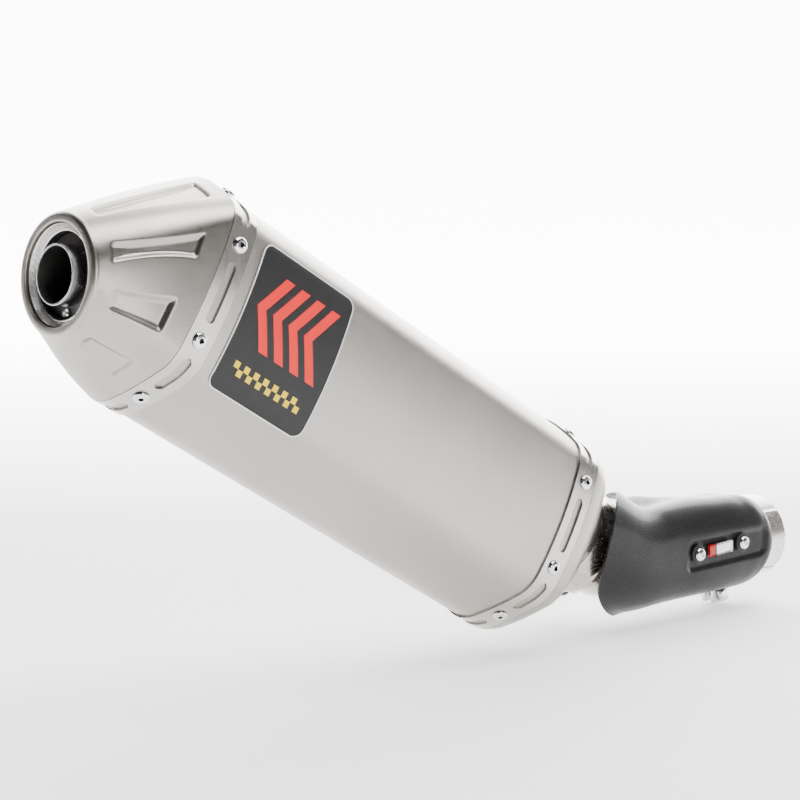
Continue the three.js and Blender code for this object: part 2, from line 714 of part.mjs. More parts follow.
// Each spring runs from a tab on the neck to a tab on the bend, inside a rubber sleeve.
function makeSprings() {
  const { radius, sleeveRadius, sleeveWall, sleeveInset, tabGap } = SPRING;
  const orbit = PIPE.radius + SPRING.standOff;
  const tab = (name, s, turn, foot) => {
    const { out, back } = besideJoint(s, 0, turn);
    const reach = orbit + radius * 0.6 - foot;
    const plate = new THREE.BoxGeometry(SPRING.hookWidth, reach, SPRING.hookThickness);
    const basis = new THREE.Matrix4().makeBasis(out.clone().cross(back), out, back);
    const { at } = besideJoint(s, foot + reach / 2, turn);
    named(name, plate.applyMatrix4(basis).translate(at.x, at.y, at.z), STEEL, exhaust);
  };
  for (const [name, turn] of [["upper", SPRING.turn], ["lower", -SPRING.turn]]) {
    const half = SPRING.hookThickness / 2 + tabGap;
    tab(`spring_hook_muffler_${name}`, SPRING.neckEnd, turn, NECK_RADIUS + GAP);
    tab(`spring_hook_pipe_${name}`, SPRING.bendEnd, turn, PIPE.radius + GAP);
    const start = besideJoint(SPRING.neckEnd - half, orbit, turn).at;
    const run = besideJoint(SPRING.bendEnd + half, orbit, turn).at.sub(start);
    const length = run.length();
    const coil = turned(
      [[0, 0], [radius - 1, 0], [radius, 1], [radius, length - 1], [radius - 1, length], [0, length]],
      12,
    );
    named(`joint_spring_${name}`, along(coil, run, start), STEEL, exhaust);
    const cover = ringOf(sleeveRadius - sleeveWall, sleeveRadius, sleeveInset, length - sleeveInset, 12);
    named(`spring_sleeve_${name}`, along(cover, run, start), RUBBER, exhaust);
  }
}

// ---------------------------------------------------------------- link pipe, clamp and shield

function makeLinkPipe() {
  const around = 28;
  const reach = PIPE.straight + BEND_LENGTH + PIPE.tail;
  const bendSteps = 5;
  const stations = [0, PIPE.straight];
  for (let i = 1; i <= bendSteps; i++) stations.push(PIPE.straight + (BEND_LENGTH * i) / bendSteps);
  stations.push(reach);
  const ring = (s, radius) => {
    const { centre, up } = pipeFrame(s);
    return Array.from({ length: around }, (_, i) => {
      const turn = (i * 2 * Math.PI) / around;
      return centre.clone().add(vec(0, radius * Math.cos(turn), 0)).addScaledVector(up, radius * Math.sin(turn));
    });
  };
  const outside = stations.map((s) => ring(s, PIPE.radius));
  const inside = [...stations].reverse().map((s) => ring(s, PIPE.radius - PIPE.wall));
  const slot = (turn) => {
    const box = new THREE.BoxGeometry(PIPE.slotLength * 2, PIPE.radius, PIPE.slotWidth);
    box.deleteAttribute("normal");
    box.deleteAttribute("uv");
    return mergeVertices(box.translate(0, PIPE.radius, 0).rotateX(turn), 1e-4);
  };
  const slots = [45, 135, 225, 315].map((degrees) => slot(rad(degrees)));
  named("link_pipe", cut(wallOf([...outside, ...inside]), ...slots), TITANIUM, exhaust);
}

// A split band with two ears that hang below the pipe, drawn by its bolt.
function makeClamp() {
  const { width, thickness, centre, earGap, earThickness, earLength } = CLAMP;
  const inner = PIPE.radius + GAP;
  const outer = inner + thickness;
  const [near, far] = [earGap / 2, earGap / 2 + earThickness];
  const edge = (y, radius) => Math.sqrt(radius * radius - y * y);
  const shape = new THREE.Shape();
  const start = Math.asin(far / outer);
  shape.absarc(0, 0, outer, -Math.PI / 2 + start, (3 * Math.PI) / 2 - start, false);
  shape.lineTo(-far, -outer - earLength);
  shape.lineTo(-near, -outer - earLength);
  shape.lineTo(-near, -edge(near, inner));
  const innerStart = Math.asin(near / inner);
  shape.absarc(0, 0, inner, (3 * Math.PI) / 2 - innerStart, -Math.PI / 2 + innerStart, true);
  shape.lineTo(near, -outer - earLength);
  shape.lineTo(far, -outer - earLength);
  const band = pushedAlongX(shape, -centre - width / 2, -centre + width / 2);
  const bolted = vec(-centre, 0, -outer - earLength * 0.55);
  const across = vec(0, 1, 0);
  const hole = along(rodOf(CLAMP.boltHole, -far - 2, far + 2, 12), across, bolted);
  named("clamp_band", cut(band, hole), STEEL, exhaust);

  const seat = far + GAP;
  const bolt = turned(
    [
      [0, -seat - CLAMP.headHeight],
      [CLAMP.headRadius * 0.8, -seat - CLAMP.headHeight],
      [CLAMP.headRadius, -seat - CLAMP.headHeight * 0.7],
      [CLAMP.headRadius, -seat],
      [CLAMP.boltRadius, -seat],
      [CLAMP.boltRadius, seat + CLAMP.nutHeight + 1.5],
      [0, seat + CLAMP.nutHeight + 1.5],
    ],
    12,
  );
  named("clamp_bolt", along(bolt, across, bolted), STEEL, exhaust);
  const hexagon = rodOf(CLAMP.nutRadius, seat, seat + CLAMP.nutHeight, 6);
  const nut = cut(hexagon, rodOf(CLAMP.boltRadius + GAP, seat - 1, seat + CLAMP.nutHeight + 1, 12));
  named("clamp_nut", along(nut, across, bolted), STEEL, exhaust);
}

// A value at an angle, eased between the values given at the shield's named angles.
function atAngle(values, angle) {
  const { angles } = SHIELD;
  let i = 0;
  while (i + 2 < angles.length && angle > angles[i + 1]) i++;
  const share = (angle - angles[i]) / (angles[i + 1] - angles[i]);
  const eased = (1 - Math.cos(Math.PI * share)) / 2;
  return values[i] + (values[i + 1] - values[i]) * (0.5 * share + 0.5 * eased);
}

function makeShield() {
  const { stations, angles, front, rear, wall } = SHIELD;
  const steps = 18;
  const [first, last] = [angles[0], angles[angles.length - 1]];
  const grid = (inset) =>
    stations.map(({ share, rises }) =>
      Array.from({ length: steps + 1 }, (_, i) => {
        const angle = first + ((last - first) * i) / steps;
        const from = atAngle(front, angle);
        const { centre, up } = pipeFrame(from + share * (atAngle(rear, angle) - from));
        const radius = PIPE.radius + atAngle(rises, angle) - inset;
        return centre.add(vec(0, -radius * Math.cos(rad(angle)), 0)).addScaledVector(up, radius * Math.sin(rad(angle)));
      }),
    );
  const across = vec(0, -1, 0);
  const places = Object.entries(SHIELD_BOLT.places);
  const bolts = places.map(([, [behind, height]]) => vec(-behind, 0, height));
  const holes = bolts.map((at) => along(rodOf(SHIELD_BOLT.holeRadius, 20, 60, 12), across, at));
  named("heat_shield", cut(panelOf(grid(0), grid(wall)), ...holes), CARBON, exhaust);

  const flat = stations.filter(({ share }) => share > 0.1 && share < 0.55);
  const side = PIPE.radius + Math.max(...flat.map(({ rises }) => rises[angles.indexOf(0)]));
  const seat = side + GAP;
  places.forEach(([name], i) => {
    const at = bolts[i];
    const inner = side - wall - GAP - 0.8;
    const boss = ringOf(SHIELD_BOLT.holeRadius, SHIELD_BOLT.bossRadius, PIPE.radius + GAP, inner, 12);
    named(`shield_boss_${name}`, along(boss, across, at), STEEL, exhaust);
    const washer = ringOf(SHIELD_BOLT.holeRadius, SHIELD_BOLT.washerRadius, seat, seat + SHIELD_BOLT.washerThickness, 16);
    named(`shield_washer_${name}`, along(washer, across, at), RUBBER, exhaust);
    const head = seat + SHIELD_BOLT.washerThickness + GAP;
    const bolt = turned(
      [
        [0, PIPE.radius + 1],
        [SHIELD_BOLT.radius, PIPE.radius + 1],
        [SHIELD_BOLT.radius, head],
        [SHIELD_BOLT.headRadius, head],
        [SHIELD_BOLT.headRadius, head + 0.6],
        [SHIELD_BOLT.headRadius * 0.75, head + SHIELD_BOLT.headHeight * 0.75],
        [1.6, head + SHIELD_BOLT.headHeight],
        [1.4, head + SHIELD_BOLT.headHeight - 1.4],
        [0, head + SHIELD_BOLT.headHeight - 1.4],
      ],
      14,
    );
    named(`shield_bolt_${name}`, along(bolt, across, at), STEEL, exhaust);
  });

  const middle = bolts[0].clone().add(bolts[1]).multiplyScalar(0.5);
  const slope = Math.atan2(bolts[1].z - bolts[0].z, bolts[1].x - bolts[0].x);
  const badge = named(
    "shield_badge",
    new THREE.BoxGeometry(SHIELD_BADGE.length, SHIELD_BADGE.thickness, SHIELD_BADGE.height),
    LABEL,
    exhaust,
  );
  badge.position.set(middle.x, -seat - SHIELD_BADGE.thickness / 2, middle.z);
  badge.rotation.y = -slope;
}

// ---------------------------------------------------------------- sleeve badge and hanger

function makeSleeveBadge() {
  const { start, length, top, bottomTurn, thickness } = BADGE;
  const strip = OUTLINE.filter(({ y, z, turn }) => y < 0 && z < top && turn <= 180 + bottomTurn);
  const upperEdge = { y: 0, z: top, turn: 0 };
  const above = OUTLINE.filter(({ y, z, turn }) => y < 0 && z >= top && turn > 90).pop();
  const first = strip[0];
  const share = (top - first.z) / (above.z - first.z);
  upperEdge.y = first.y + (above.y - first.y) * share;
  upperEdge.turn = first.turn + (above.turn - first.turn) * share;
  const rows = [upperEdge, ...strip];
  const inset = (distance) =>
    [start, start + length].map((x) =>
      rows.map(({ y, z, turn }) => vec(x, y - distance * Math.cos(rad(turn)), z - distance * Math.sin(rad(turn)))),
    );
  const seat = SLEEVE_INSET - GAP;
  named("sleeve_badge", panelOf(inset(seat - thickness), inset(seat)), LABEL, muffler);
}

// A joggled bracket on the bike's side of the muffler, with a rubber grommet and a steel bushing.
function makeHanger() {
  const { station, width, thickness, footBottom, footTop, standOff, earStart, holeHeight, earTop } = HANGER;
  const foot = SECTION.halfWidth - SLEEVE_INSET + GAP;
  const ear = foot + standOff;
  const shape = new THREE.Shape();
  shape.moveTo(foot, footBottom);
  shape.lineTo(foot + thickness, footBottom);
  shape.lineTo(foot + thickness, footTop - 1.5);
  shape.lineTo(ear + thickness, earStart - 1.5);
  shape.lineTo(ear + thickness, earTop);
  shape.lineTo(ear, earTop);
  shape.lineTo(ear, earStart + 1);
  shape.lineTo(foot, footTop + 1);
  const across = vec(0, 1, 0);
  const at = vec(station, 0, holeHeight);
  const bracket = pushedAlongX(shape, station - width / 2, station + width / 2);
  const hole = along(rodOf(HANGER.grommetGroove + GAP, ear - 3, ear + thickness + 3, 20), across, at);
  named("hanger_bracket", cut(bracket, hole), TITANIUM, muffler);

  const { grommetGroove, grommetFlange, grommetLip, bushRadius, bushBore } = HANGER;
  const [near, far] = [ear - GAP, ear + thickness + GAP];
  const grommet = turned(
    [
      [bushRadius + GAP, near - grommetLip],
      [grommetFlange, near - grommetLip],
      [grommetFlange, near],
      [grommetGroove, near],
      [grommetGroove, far],
      [grommetFlange, far],
      [grommetFlange, far + grommetLip],
      [bushRadius + GAP, far + grommetLip],
      [bushRadius + GAP, near - grommetLip],
    ],
    16,
  );
  named("hanger_grommet", along(grommet, across, at), RUBBER, muffler);
  const bush = ringOf(bushBore, bushRadius, near - grommetLip - 0.5, far + grommetLip + 0.5, 20);
  named("hanger_bushing", along(bush, across, at), STEEL, muffler);
}

makeSleeve();
makeStrap("outlet_strap", OUTLET_STRAP);
makeStrap("inlet_strap", INLET_STRAP);
makeOutletCap();
makeSpout();
makeInsert();
makeInletCap();
makeRivets();
makeInternals();
makeNeck();
makeGasket();
makeSprings();
makeLinkPipe();
makeClamp();
makeShield();
makeSleeveBadge();
makeHanger();

export default exhaust;
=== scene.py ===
"""Looks of a racing exhaust: an angular riveted muffler on a spring-held link pipe with a heat shield.

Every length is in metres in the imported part's own frame: +X towards the engine, +Z up, and the origin
at the centre of the link pipe's inlet end.
"""

import json
import logging
import math
from dataclasses import dataclass, field
from enum import Enum
from typing import Callable, Iterable, Sequence

import bpy
import numpy as np
from mathutils import Matrix, Vector


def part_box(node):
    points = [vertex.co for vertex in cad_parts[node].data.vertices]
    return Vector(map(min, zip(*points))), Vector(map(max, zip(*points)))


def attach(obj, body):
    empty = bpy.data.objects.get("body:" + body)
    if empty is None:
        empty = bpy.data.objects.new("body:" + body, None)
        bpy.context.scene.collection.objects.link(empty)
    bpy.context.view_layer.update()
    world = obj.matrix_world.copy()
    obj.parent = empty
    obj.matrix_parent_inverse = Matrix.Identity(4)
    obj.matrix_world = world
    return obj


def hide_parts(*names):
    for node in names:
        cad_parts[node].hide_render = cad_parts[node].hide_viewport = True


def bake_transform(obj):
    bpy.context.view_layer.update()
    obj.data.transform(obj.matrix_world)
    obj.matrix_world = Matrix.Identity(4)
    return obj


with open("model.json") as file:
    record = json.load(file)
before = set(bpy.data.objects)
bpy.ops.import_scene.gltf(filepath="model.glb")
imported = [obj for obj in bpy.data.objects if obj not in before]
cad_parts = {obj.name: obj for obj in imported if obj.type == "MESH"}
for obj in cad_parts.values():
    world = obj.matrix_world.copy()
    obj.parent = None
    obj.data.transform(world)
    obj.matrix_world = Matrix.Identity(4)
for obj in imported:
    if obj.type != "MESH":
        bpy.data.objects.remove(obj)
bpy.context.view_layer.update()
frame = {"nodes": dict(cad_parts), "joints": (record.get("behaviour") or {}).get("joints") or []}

Piece = bpy.types.Object
Material = bpy.types.Material
Socket = bpy.types.NodeSocket
Pair = tuple[float, float]
Colour = tuple[float, float, float]

MM = 0.001
LOG = logging.getLogger("exhaust")


class Body(Enum):
    """The bodies that a piece can ride on."""

    PIPE = "link_pipe"
    MUFFLER = "muffler"
    INSERT = "insert"


class Slot(Enum):
    """The record's finishes, one named for each new piece."""

    SATIN = "titanium_satin"
    BLASTED = "titanium_blasted"
    POLISHED = "titanium_polished"
    STEEL = "stainless_steel"
    BRIGHT = "bright_fastener"
    CARBON = "carbon_weave"
    RUBBER = "black_rubber"
    GRAPHITE = "graphite"
    WOOL = "mineral_wool"
    LABEL = "printed_label"


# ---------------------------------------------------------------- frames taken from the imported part


@dataclass(frozen=True)
class MufflerFrame:
    """The muffler's own axes: x along it from the outlet strap to the neck, y across, z up and square to x."""

    origin: np.ndarray
    along: np.ndarray
    across: np.ndarray
    up: np.ndarray
    length: float

    @classmethod
    def from_frame(cls) -> "MufflerFrame":
        """Reads the axes from the swivel joint and the ends from the two straps.

        Returns:
            The muffler's frame at rest.
        """
        joint = next(j for j in frame["joints"] if j["name"] == "muffler_swivel")
        along = np.array(joint["axis"], float)
        along /= np.linalg.norm(along)
        across = np.array([0.0, 1.0, 0.0])
        up = np.cross(along, across)
        strap = node_points("outlet_strap")
        far = node_points("inlet_strap")
        start = (strap @ along).min()
        section = Section()
        base = (strap @ up).min() + section.height_below
        return cls(start * along + base * up, along, across, up, (far @ along).max() - start)

    def place(self, local: np.ndarray) -> np.ndarray:
        """Turns points from the muffler's axes into the part's.

        Args:
            local: Points, in metres, with x, y and z in the last axis.

        Returns:
            The same points in the part's frame.
        """
        x, y, z = local[..., 0:1], local[..., 1:2], local[..., 2:3]
        return self.origin + x * self.along + y * self.across + z * self.up

    def matrix(self) -> Matrix:
        """The muffler's axes as a 4 by 4 matrix."""
        columns = np.eye(4)
        columns[:3, 0], columns[:3, 1], columns[:3, 2] = self.along, self.across, self.up
        columns[:3, 3] = self.origin
        return Matrix(columns.tolist())


def node_points(node: str) -> np.ndarray:
    """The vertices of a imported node, in metres."""
    mesh = frame["nodes"][node].data
    flat = np.zeros(len(mesh.vertices) * 3)
    mesh.vertices.foreach_get("co", flat)
    return flat.reshape(-1, 3)


@dataclass(frozen=True)
class Arc:
    """One arc of a quarter of the section; angles in degrees from the side to the middle."""

    radius: float
    start: float
    end: float
    steps: int


@dataclass(frozen=True)
class Section:
    """The muffler's six-sided section, made of arcs that meet on common normals.

    Attributes:
        half_width: From the middle to a side.
        side: Radius of the nearly flat side.
        side_end: Angle at which the side meets its corner.
        upper: Corner radius, corner end, slope end and vertex radius of the upper half.
        lower: The same for the lower half.
    """

    half_width: float = 54 * MM
    side: float = 240 * MM
    side_end: float = 9
    upper: tuple[float, float, float, float] = (22 * MM, 63, 70, 49 * MM)
    lower: tuple[float, float, float, float] = (24 * MM, 53, 64, 24.5 * MM)

    def quarter(self, half: tuple[float, float, float, float]) -> np.ndarray:
        """Walks a quarter from the side to the middle.

        Args:
            half: The sizes of the upper or the lower half.

        Returns:
            Rows of y, z and the normal's angle in degrees.
        """
        corner, corner_end, slope_end, vertex = half
        cos = lambda degrees: math.cos(math.radians(degrees))
        sin = lambda degrees: math.sin(math.radians(degrees))
        fixed = (
            self.side * (1 - cos(self.side_end))
            + corner * (cos(self.side_end) - cos(corner_end))
            + vertex * cos(slope_end)
        )
        slope = (self.half_width - fixed) / (cos(corner_end) - cos(slope_end))
        arcs = (
            Arc(self.side, 0, self.side_end, 12),
            Arc(corner, self.side_end, corner_end, 24),
            Arc(slope, corner_end, slope_end, 10),
            Arc(vertex, slope_end, 90, 16),
        )
        y, z = self.half_width, 0.0
        rows = [(y, z, 0.0)]
        for arc in arcs:
            y0, z0 = y, z
            for i in range(1, arc.steps + 1):
                turn = arc.start + (arc.end - arc.start) * i / arc.steps
                y = y0 - arc.radius * (cos(arc.start) - cos(turn))
                z = z0 + arc.radius * (sin(turn) - sin(arc.start))
                rows.append((y, z, turn))
        return np.array(rows)

    @property
    def height_below(self) -> float:
        """From the middle down to the lowest point."""
        return float(self.quarter(self.lower)[-1, 1])

    def outline(self) -> np.ndarray:
        """The whole section, anticlockwise from the left side, as rows of y, z and normal angle."""
        up, low = self.quarter(self.upper), self.quarter(self.lower)
        mirror = lambda q, sy, sz, base, sign: np.c_[q[:, 0] * sy, q[:, 1] * sz, base + sign * q[:, 2]]
        return np.vstack(
            [
                mirror(up, 1, 1, 0, 1),
                mirror(up[-2::-1], -1, 1, 180, -1),
                mirror(low[1:], -1, -1, 180, 1),
                mirror(low[-2::-1], 1, -1, 360, -1),
            ]
        )

    def columns(self, count: int, evenness: float = 0.6) -> np.ndarray:
        """Spreads points round the section.

        Args:
            count: How many points, with the last on the first.
            evenness: Share of the spacing that follows the length; the rest follows the turning.

        Returns:
            Rows of y, z and normal angle.
        """
        line = self.outline()
        step = np.hypot(np.diff(line[:, 0]), np.diff(line[:, 1]))
        length = np.r_[0, np.cumsum(step)]
        measure = evenness * length / length[-1] + (1 - evenness) * line[:, 2] / 360
        at = np.linspace(0, 1, count)
        return np.stack([np.interp(at, measure, line[:, i]) for i in range(3)], 1)


def section_ring(columns: np.ndarray, x: float, inset: float) -> np.ndarray:
    """A closed ring on the section, pulled in by a distance.

    Args:
        columns: Rows of y, z and normal angle.
        x: Station along the muffler.
        inset: How far in from the strap's outer face.

    Returns:
        The ring's points in the muffler's axes.
    """
    turn = np.radians(columns[:, 2])
    y = columns[:, 0] - inset * np.cos(turn)
    z = columns[:, 1] - inset * np.sin(turn)
    return np.stack([np.full(len(y), x), y, z], 1)


def circle_ring(turns: np.ndarray, centre: Sequence[float], radius: float, up: Sequence[float]) -> np.ndarray:
    """A circle whose points lie at given normal angles.

    Args:
        turns: Angles in degrees.
        centre: Its middle, in the muffler's axes.
        radius: Its radius.
        up: The direction of 90 degrees.

    Returns:
        The ring's points.
    """
    a = np.radians(turns)[:, None]
    side = np.array([0.0, 1.0, 0.0])
    return np.array(centre) + radius * (np.cos(a) * side + np.sin(a) * np.array(up))


# ---------------------------------------------------------------- bench: modelling helpers


class Bench:
    """Modelling steps shared by the sub-assemblies."""

    @staticmethod
    def clear() -> None:
        """Deselects everything in object mode."""
        if bpy.context.mode != "OBJECT":
            bpy.ops.object.mode_set(mode="OBJECT")
        bpy.ops.object.select_all(action="DESELECT")

    @staticmethod
    def take(obj: Piece) -> None:
        """Makes one object the only selected and active one."""
        Bench.clear()
        obj.select_set(True)
        bpy.context.view_layer.objects.active = obj

    @staticmethod
    def link(name: str, data: bpy.types.ID) -> Piece:
        """Puts a new object in the scene."""
        obj = bpy.data.objects.new(name, data)
        bpy.context.scene.collection.objects.link(obj)
        return obj

    @staticmethod
    def draped(name: str, rows: np.ndarray) -> tuple[Piece, np.ndarray, np.ndarray]:
        """A flat grid laid over rows of points.

        Args:
            name: The new object's name.
            rows: The points, row by row.

        Returns:
            The object, and the row and column of each of its vertices.
        """
        down, across = rows.shape[:2]
        Bench.clear()
        bpy.ops.mesh.primitive_grid_add(x_subdivisions=across - 1, y_subdivisions=down - 1, size=1)
        obj = bpy.context.object
        obj.name = obj.data.name = name
        flat = Bench.points(obj)
        column = np.rint((flat[:, 0] + 0.5) * (across - 1)).astype(int)
        row = np.rint((flat[:, 1] + 0.5) * (down - 1)).astype(int)
        Bench.put(obj, rows[row, column])
        return obj, row, column

    @staticmethod
    def points(obj: Piece) -> np.ndarray:
        """A mesh's vertices, one a row."""
        flat = np.zeros(len(obj.data.vertices) * 3)
        obj.data.vertices.foreach_get("co", flat)
        return flat.reshape(-1, 3)

    @staticmethod
    def put(obj: Piece, points: np.ndarray) -> None:
        """Moves a mesh's vertices to the given points."""
        obj.data.vertices.foreach_set("co", points.ravel())
        obj.data.update()

    @staticmethod
    def rolled(name: str, rings: np.ndarray) -> Piece:
        """Rolls a flat grid up into a surface.

        Args:
            name: The new object's name.
            rings: Points as rows of rings; each ring's last point may lie on its first.

        Returns:
            The finished object, with its seams merged and its faces out.
        """
        obj = Bench.draped(name, rings)[0]
        Bench.merge(obj)
        return obj

    @staticmethod
    def box(name: str, size: Sequence[float], middle: Sequence[float] = (0, 0, 0), turn: float = 0.0) -> Piece:
        """A box, turned about x by an angle in radians."""
        Bench.clear()
        bpy.ops.mesh.primitive_cube_add(size=1, location=middle, scale=size, rotation=(turn, 0, 0))
        obj = bpy.context.object
        obj.name = obj.data.name = name
        bpy.ops.object.transform_apply(location=True, rotation=True, scale=True)
        return obj

    @staticmethod
    def rod(radius: float, depth: float, middle: Sequence[float], sides: int, turn: float = 0.0) -> Piece:
        """A cylinder along z, turned about x by an angle in radians."""
        Bench.clear()
        bpy.ops.mesh.primitive_cylinder_add(
            vertices=sides, radius=radius, depth=depth, location=middle, rotation=(turn, 0, 0)
        )
        bpy.ops.object.transform_apply(location=True, rotation=True, scale=True)
        return bpy.context.object

    @staticmethod
    def cut_away(obj: Piece, *tools: Piece) -> None:
        """Cuts tools out of an object and removes them."""
        for tool in tools:
            Bench.modify(obj, "BOOLEAN", operation="DIFFERENCE", object=tool, solver="EXACT")
            bpy.data.objects.remove(tool)

    @staticmethod
    def bisect(obj: Piece, start: float, length: float, count: int, axis: Sequence[int]) -> None:
        """Cuts a piece across at even steps along an axis, so that it can bend."""
        Bench.take(obj)
        bpy.ops.object.mode_set(mode="EDIT")
        for i in range(1, count):
            place = start + length * i / count
            bpy.ops.mesh.select_all(action="SELECT")
            bpy.ops.mesh.bisect(plane_co=tuple(place * v for v in axis), plane_no=tuple(axis))
        bpy.ops.object.mode_set(mode="OBJECT")

    @staticmethod
    def round_edges(
        obj: Piece, test: Callable[[Vector, Vector], bool], offset: float, segments: int, fresh: bool = True
    ) -> None:
        """Bevels the edges whose two ends pass a test.

        Args:
            obj: The piece, which is the active object.
            test: Whether an edge between two points is bevelled.
            offset: How far each edge is cut back.
            segments: Steps of the bevel.
            fresh: Whether the vertices are deselected first; if not, edges between them may be bevelled too.
        """
        if fresh:
            Bench.take(obj)
            bpy.ops.object.mode_set(mode="EDIT")
            bpy.ops.mesh.select_mode(type="EDGE")
            bpy.ops.mesh.select_all(action="DESELECT")
            bpy.ops.object.mode_set(mode="OBJECT")
        for edge in obj.data.edges:
            edge.select = test(*(obj.data.vertices[i].co for i in edge.vertices))
        for face in obj.data.polygons:
            face.select = False
        bpy.ops.object.mode_set(mode="EDIT")
        bpy.ops.mesh.select_mode(type="EDGE")
        bpy.ops.mesh.bevel(offset=offset, segments=segments, affect="EDGES")
        bpy.ops.object.mode_set(mode="OBJECT")

    @staticmethod
    def ease_edges(obj: Piece, width: float, segments: int, degrees: float = 50) -> None:
        """Bevels every edge sharper than an angle."""
        limit = math.radians(degrees)
        Bench.modify(obj, "BEVEL", width=width, segments=segments, limit_method="ANGLE", angle_limit=limit)

    @staticmethod
    def uv_layer(obj: Piece) -> bpy.types.MeshUVLoopLayer:
        """A mesh's UV map, made if it has none."""
        return obj.data.uv_layers.active or obj.data.uv_layers.new(name="UVMap")

    @staticmethod
    def merge(obj: Piece, distance: float = 2e-6) -> None:
        """Merges coincident points and turns the faces out."""
        Bench.take(obj)
        bpy.ops.object.mode_set(mode="EDIT")
        bpy.ops.mesh.select_all(action="SELECT")
        bpy.ops.mesh.remove_doubles(threshold=distance)
        bpy.ops.mesh.normals_make_consistent(inside=False)
        bpy.ops.object.mode_set(mode="OBJECT")

    @staticmethod
    def modify(obj: Piece, kind: str, **settings: object) -> None:
        """Adds a modifier and applies it.

        Args:
            obj: The object.
            kind: The modifier's type.
            **settings: Its settings.
        """
        Bench.take(obj)
        modifier = obj.modifiers.new(kind.lower(), kind)
        for key, value in settings.items():
            setattr(modifier, key, value)
        bpy.ops.object.modifier_apply(modifier=modifier.name)

    @staticmethod
    def smooth(obj: Piece, degrees: float = 35) -> None:
        """Shades an object smooth, with edges sharper than the angle kept."""
        Bench.take(obj)
        bpy.ops.object.shade_smooth_by_angle(angle=math.radians(degrees))

    @staticmethod
    def rounded_profile(corners: Sequence[Pair], radius: float, steps: int = 3) -> list[Pair]:
        """Rounds the corners of a closed profile.

        Args:
            corners: Radius and distance of each corner.
            radius: The rounding, limited by the shorter neighbouring edge.
            steps: Points on each rounding.

        Returns:
            The rounded profile's points.
        """
        made = []
        count = len(corners)
        for i in range(count):
            a, b, c = (np.array(corners[(i + k) % count]) for k in (-1, 0, 1))
            ab, bc = np.linalg.norm(a - b), np.linalg.norm(c - b)
            reach = min(radius, 0.45 * ab, 0.45 * bc)
            p, q = b + (a - b) / ab * reach, b + (c - b) / bc * reach
            for k in range(steps + 1):
                t = k / steps
                made.append(tuple((1 - t) ** 2 * p + 2 * t * (1 - t) * b + t * t * q))
        return made

    @staticmethod
    def copy_of(node: str, name: str, bevel: float = 0.0, segments: int = 2, angle: float = 30) -> Piece:
        """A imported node's shape with its sharp edges eased.

        Args:
            node: The node to copy.
            name: The new object's name.
            bevel: How far each sharp edge is cut back.
            segments: Steps of the bevel.
            angle: Edges sharper than this are eased.

        Returns:
            The new object.
        """
        source = frame["nodes"][node]
        obj = Bench.link(name, source.data.copy())
        obj.data.name = name
        obj.data.materials.clear()
        Bench.merge(obj, 1e-5)
        Bench.take(obj)
        bpy.ops.object.mode_set(mode="EDIT")
        bpy.ops.mesh.select_all(action="SELECT")
        bpy.ops.mesh.dissolve_limited(angle_limit=math.radians(0.5))
        bpy.ops.object.mode_set(mode="OBJECT")
        if bevel:
            Bench.ease_edges(obj, bevel, segments, angle)
        Bench.smooth(obj, angle + 5)
        return obj

    @staticmethod
    def fit(
        obj: Piece, body: Body, slot: Slot, material: Material, *nodes: str
    ) -> Piece:
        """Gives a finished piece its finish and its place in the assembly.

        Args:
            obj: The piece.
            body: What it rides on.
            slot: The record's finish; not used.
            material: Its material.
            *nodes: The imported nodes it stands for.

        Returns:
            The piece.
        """
        obj.data.materials.clear()
        obj.data.materials.append(material)
        if nodes:
            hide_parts(*nodes)
        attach(obj, body.value)
        return obj


# ---------------------------------------------------------------- finishes


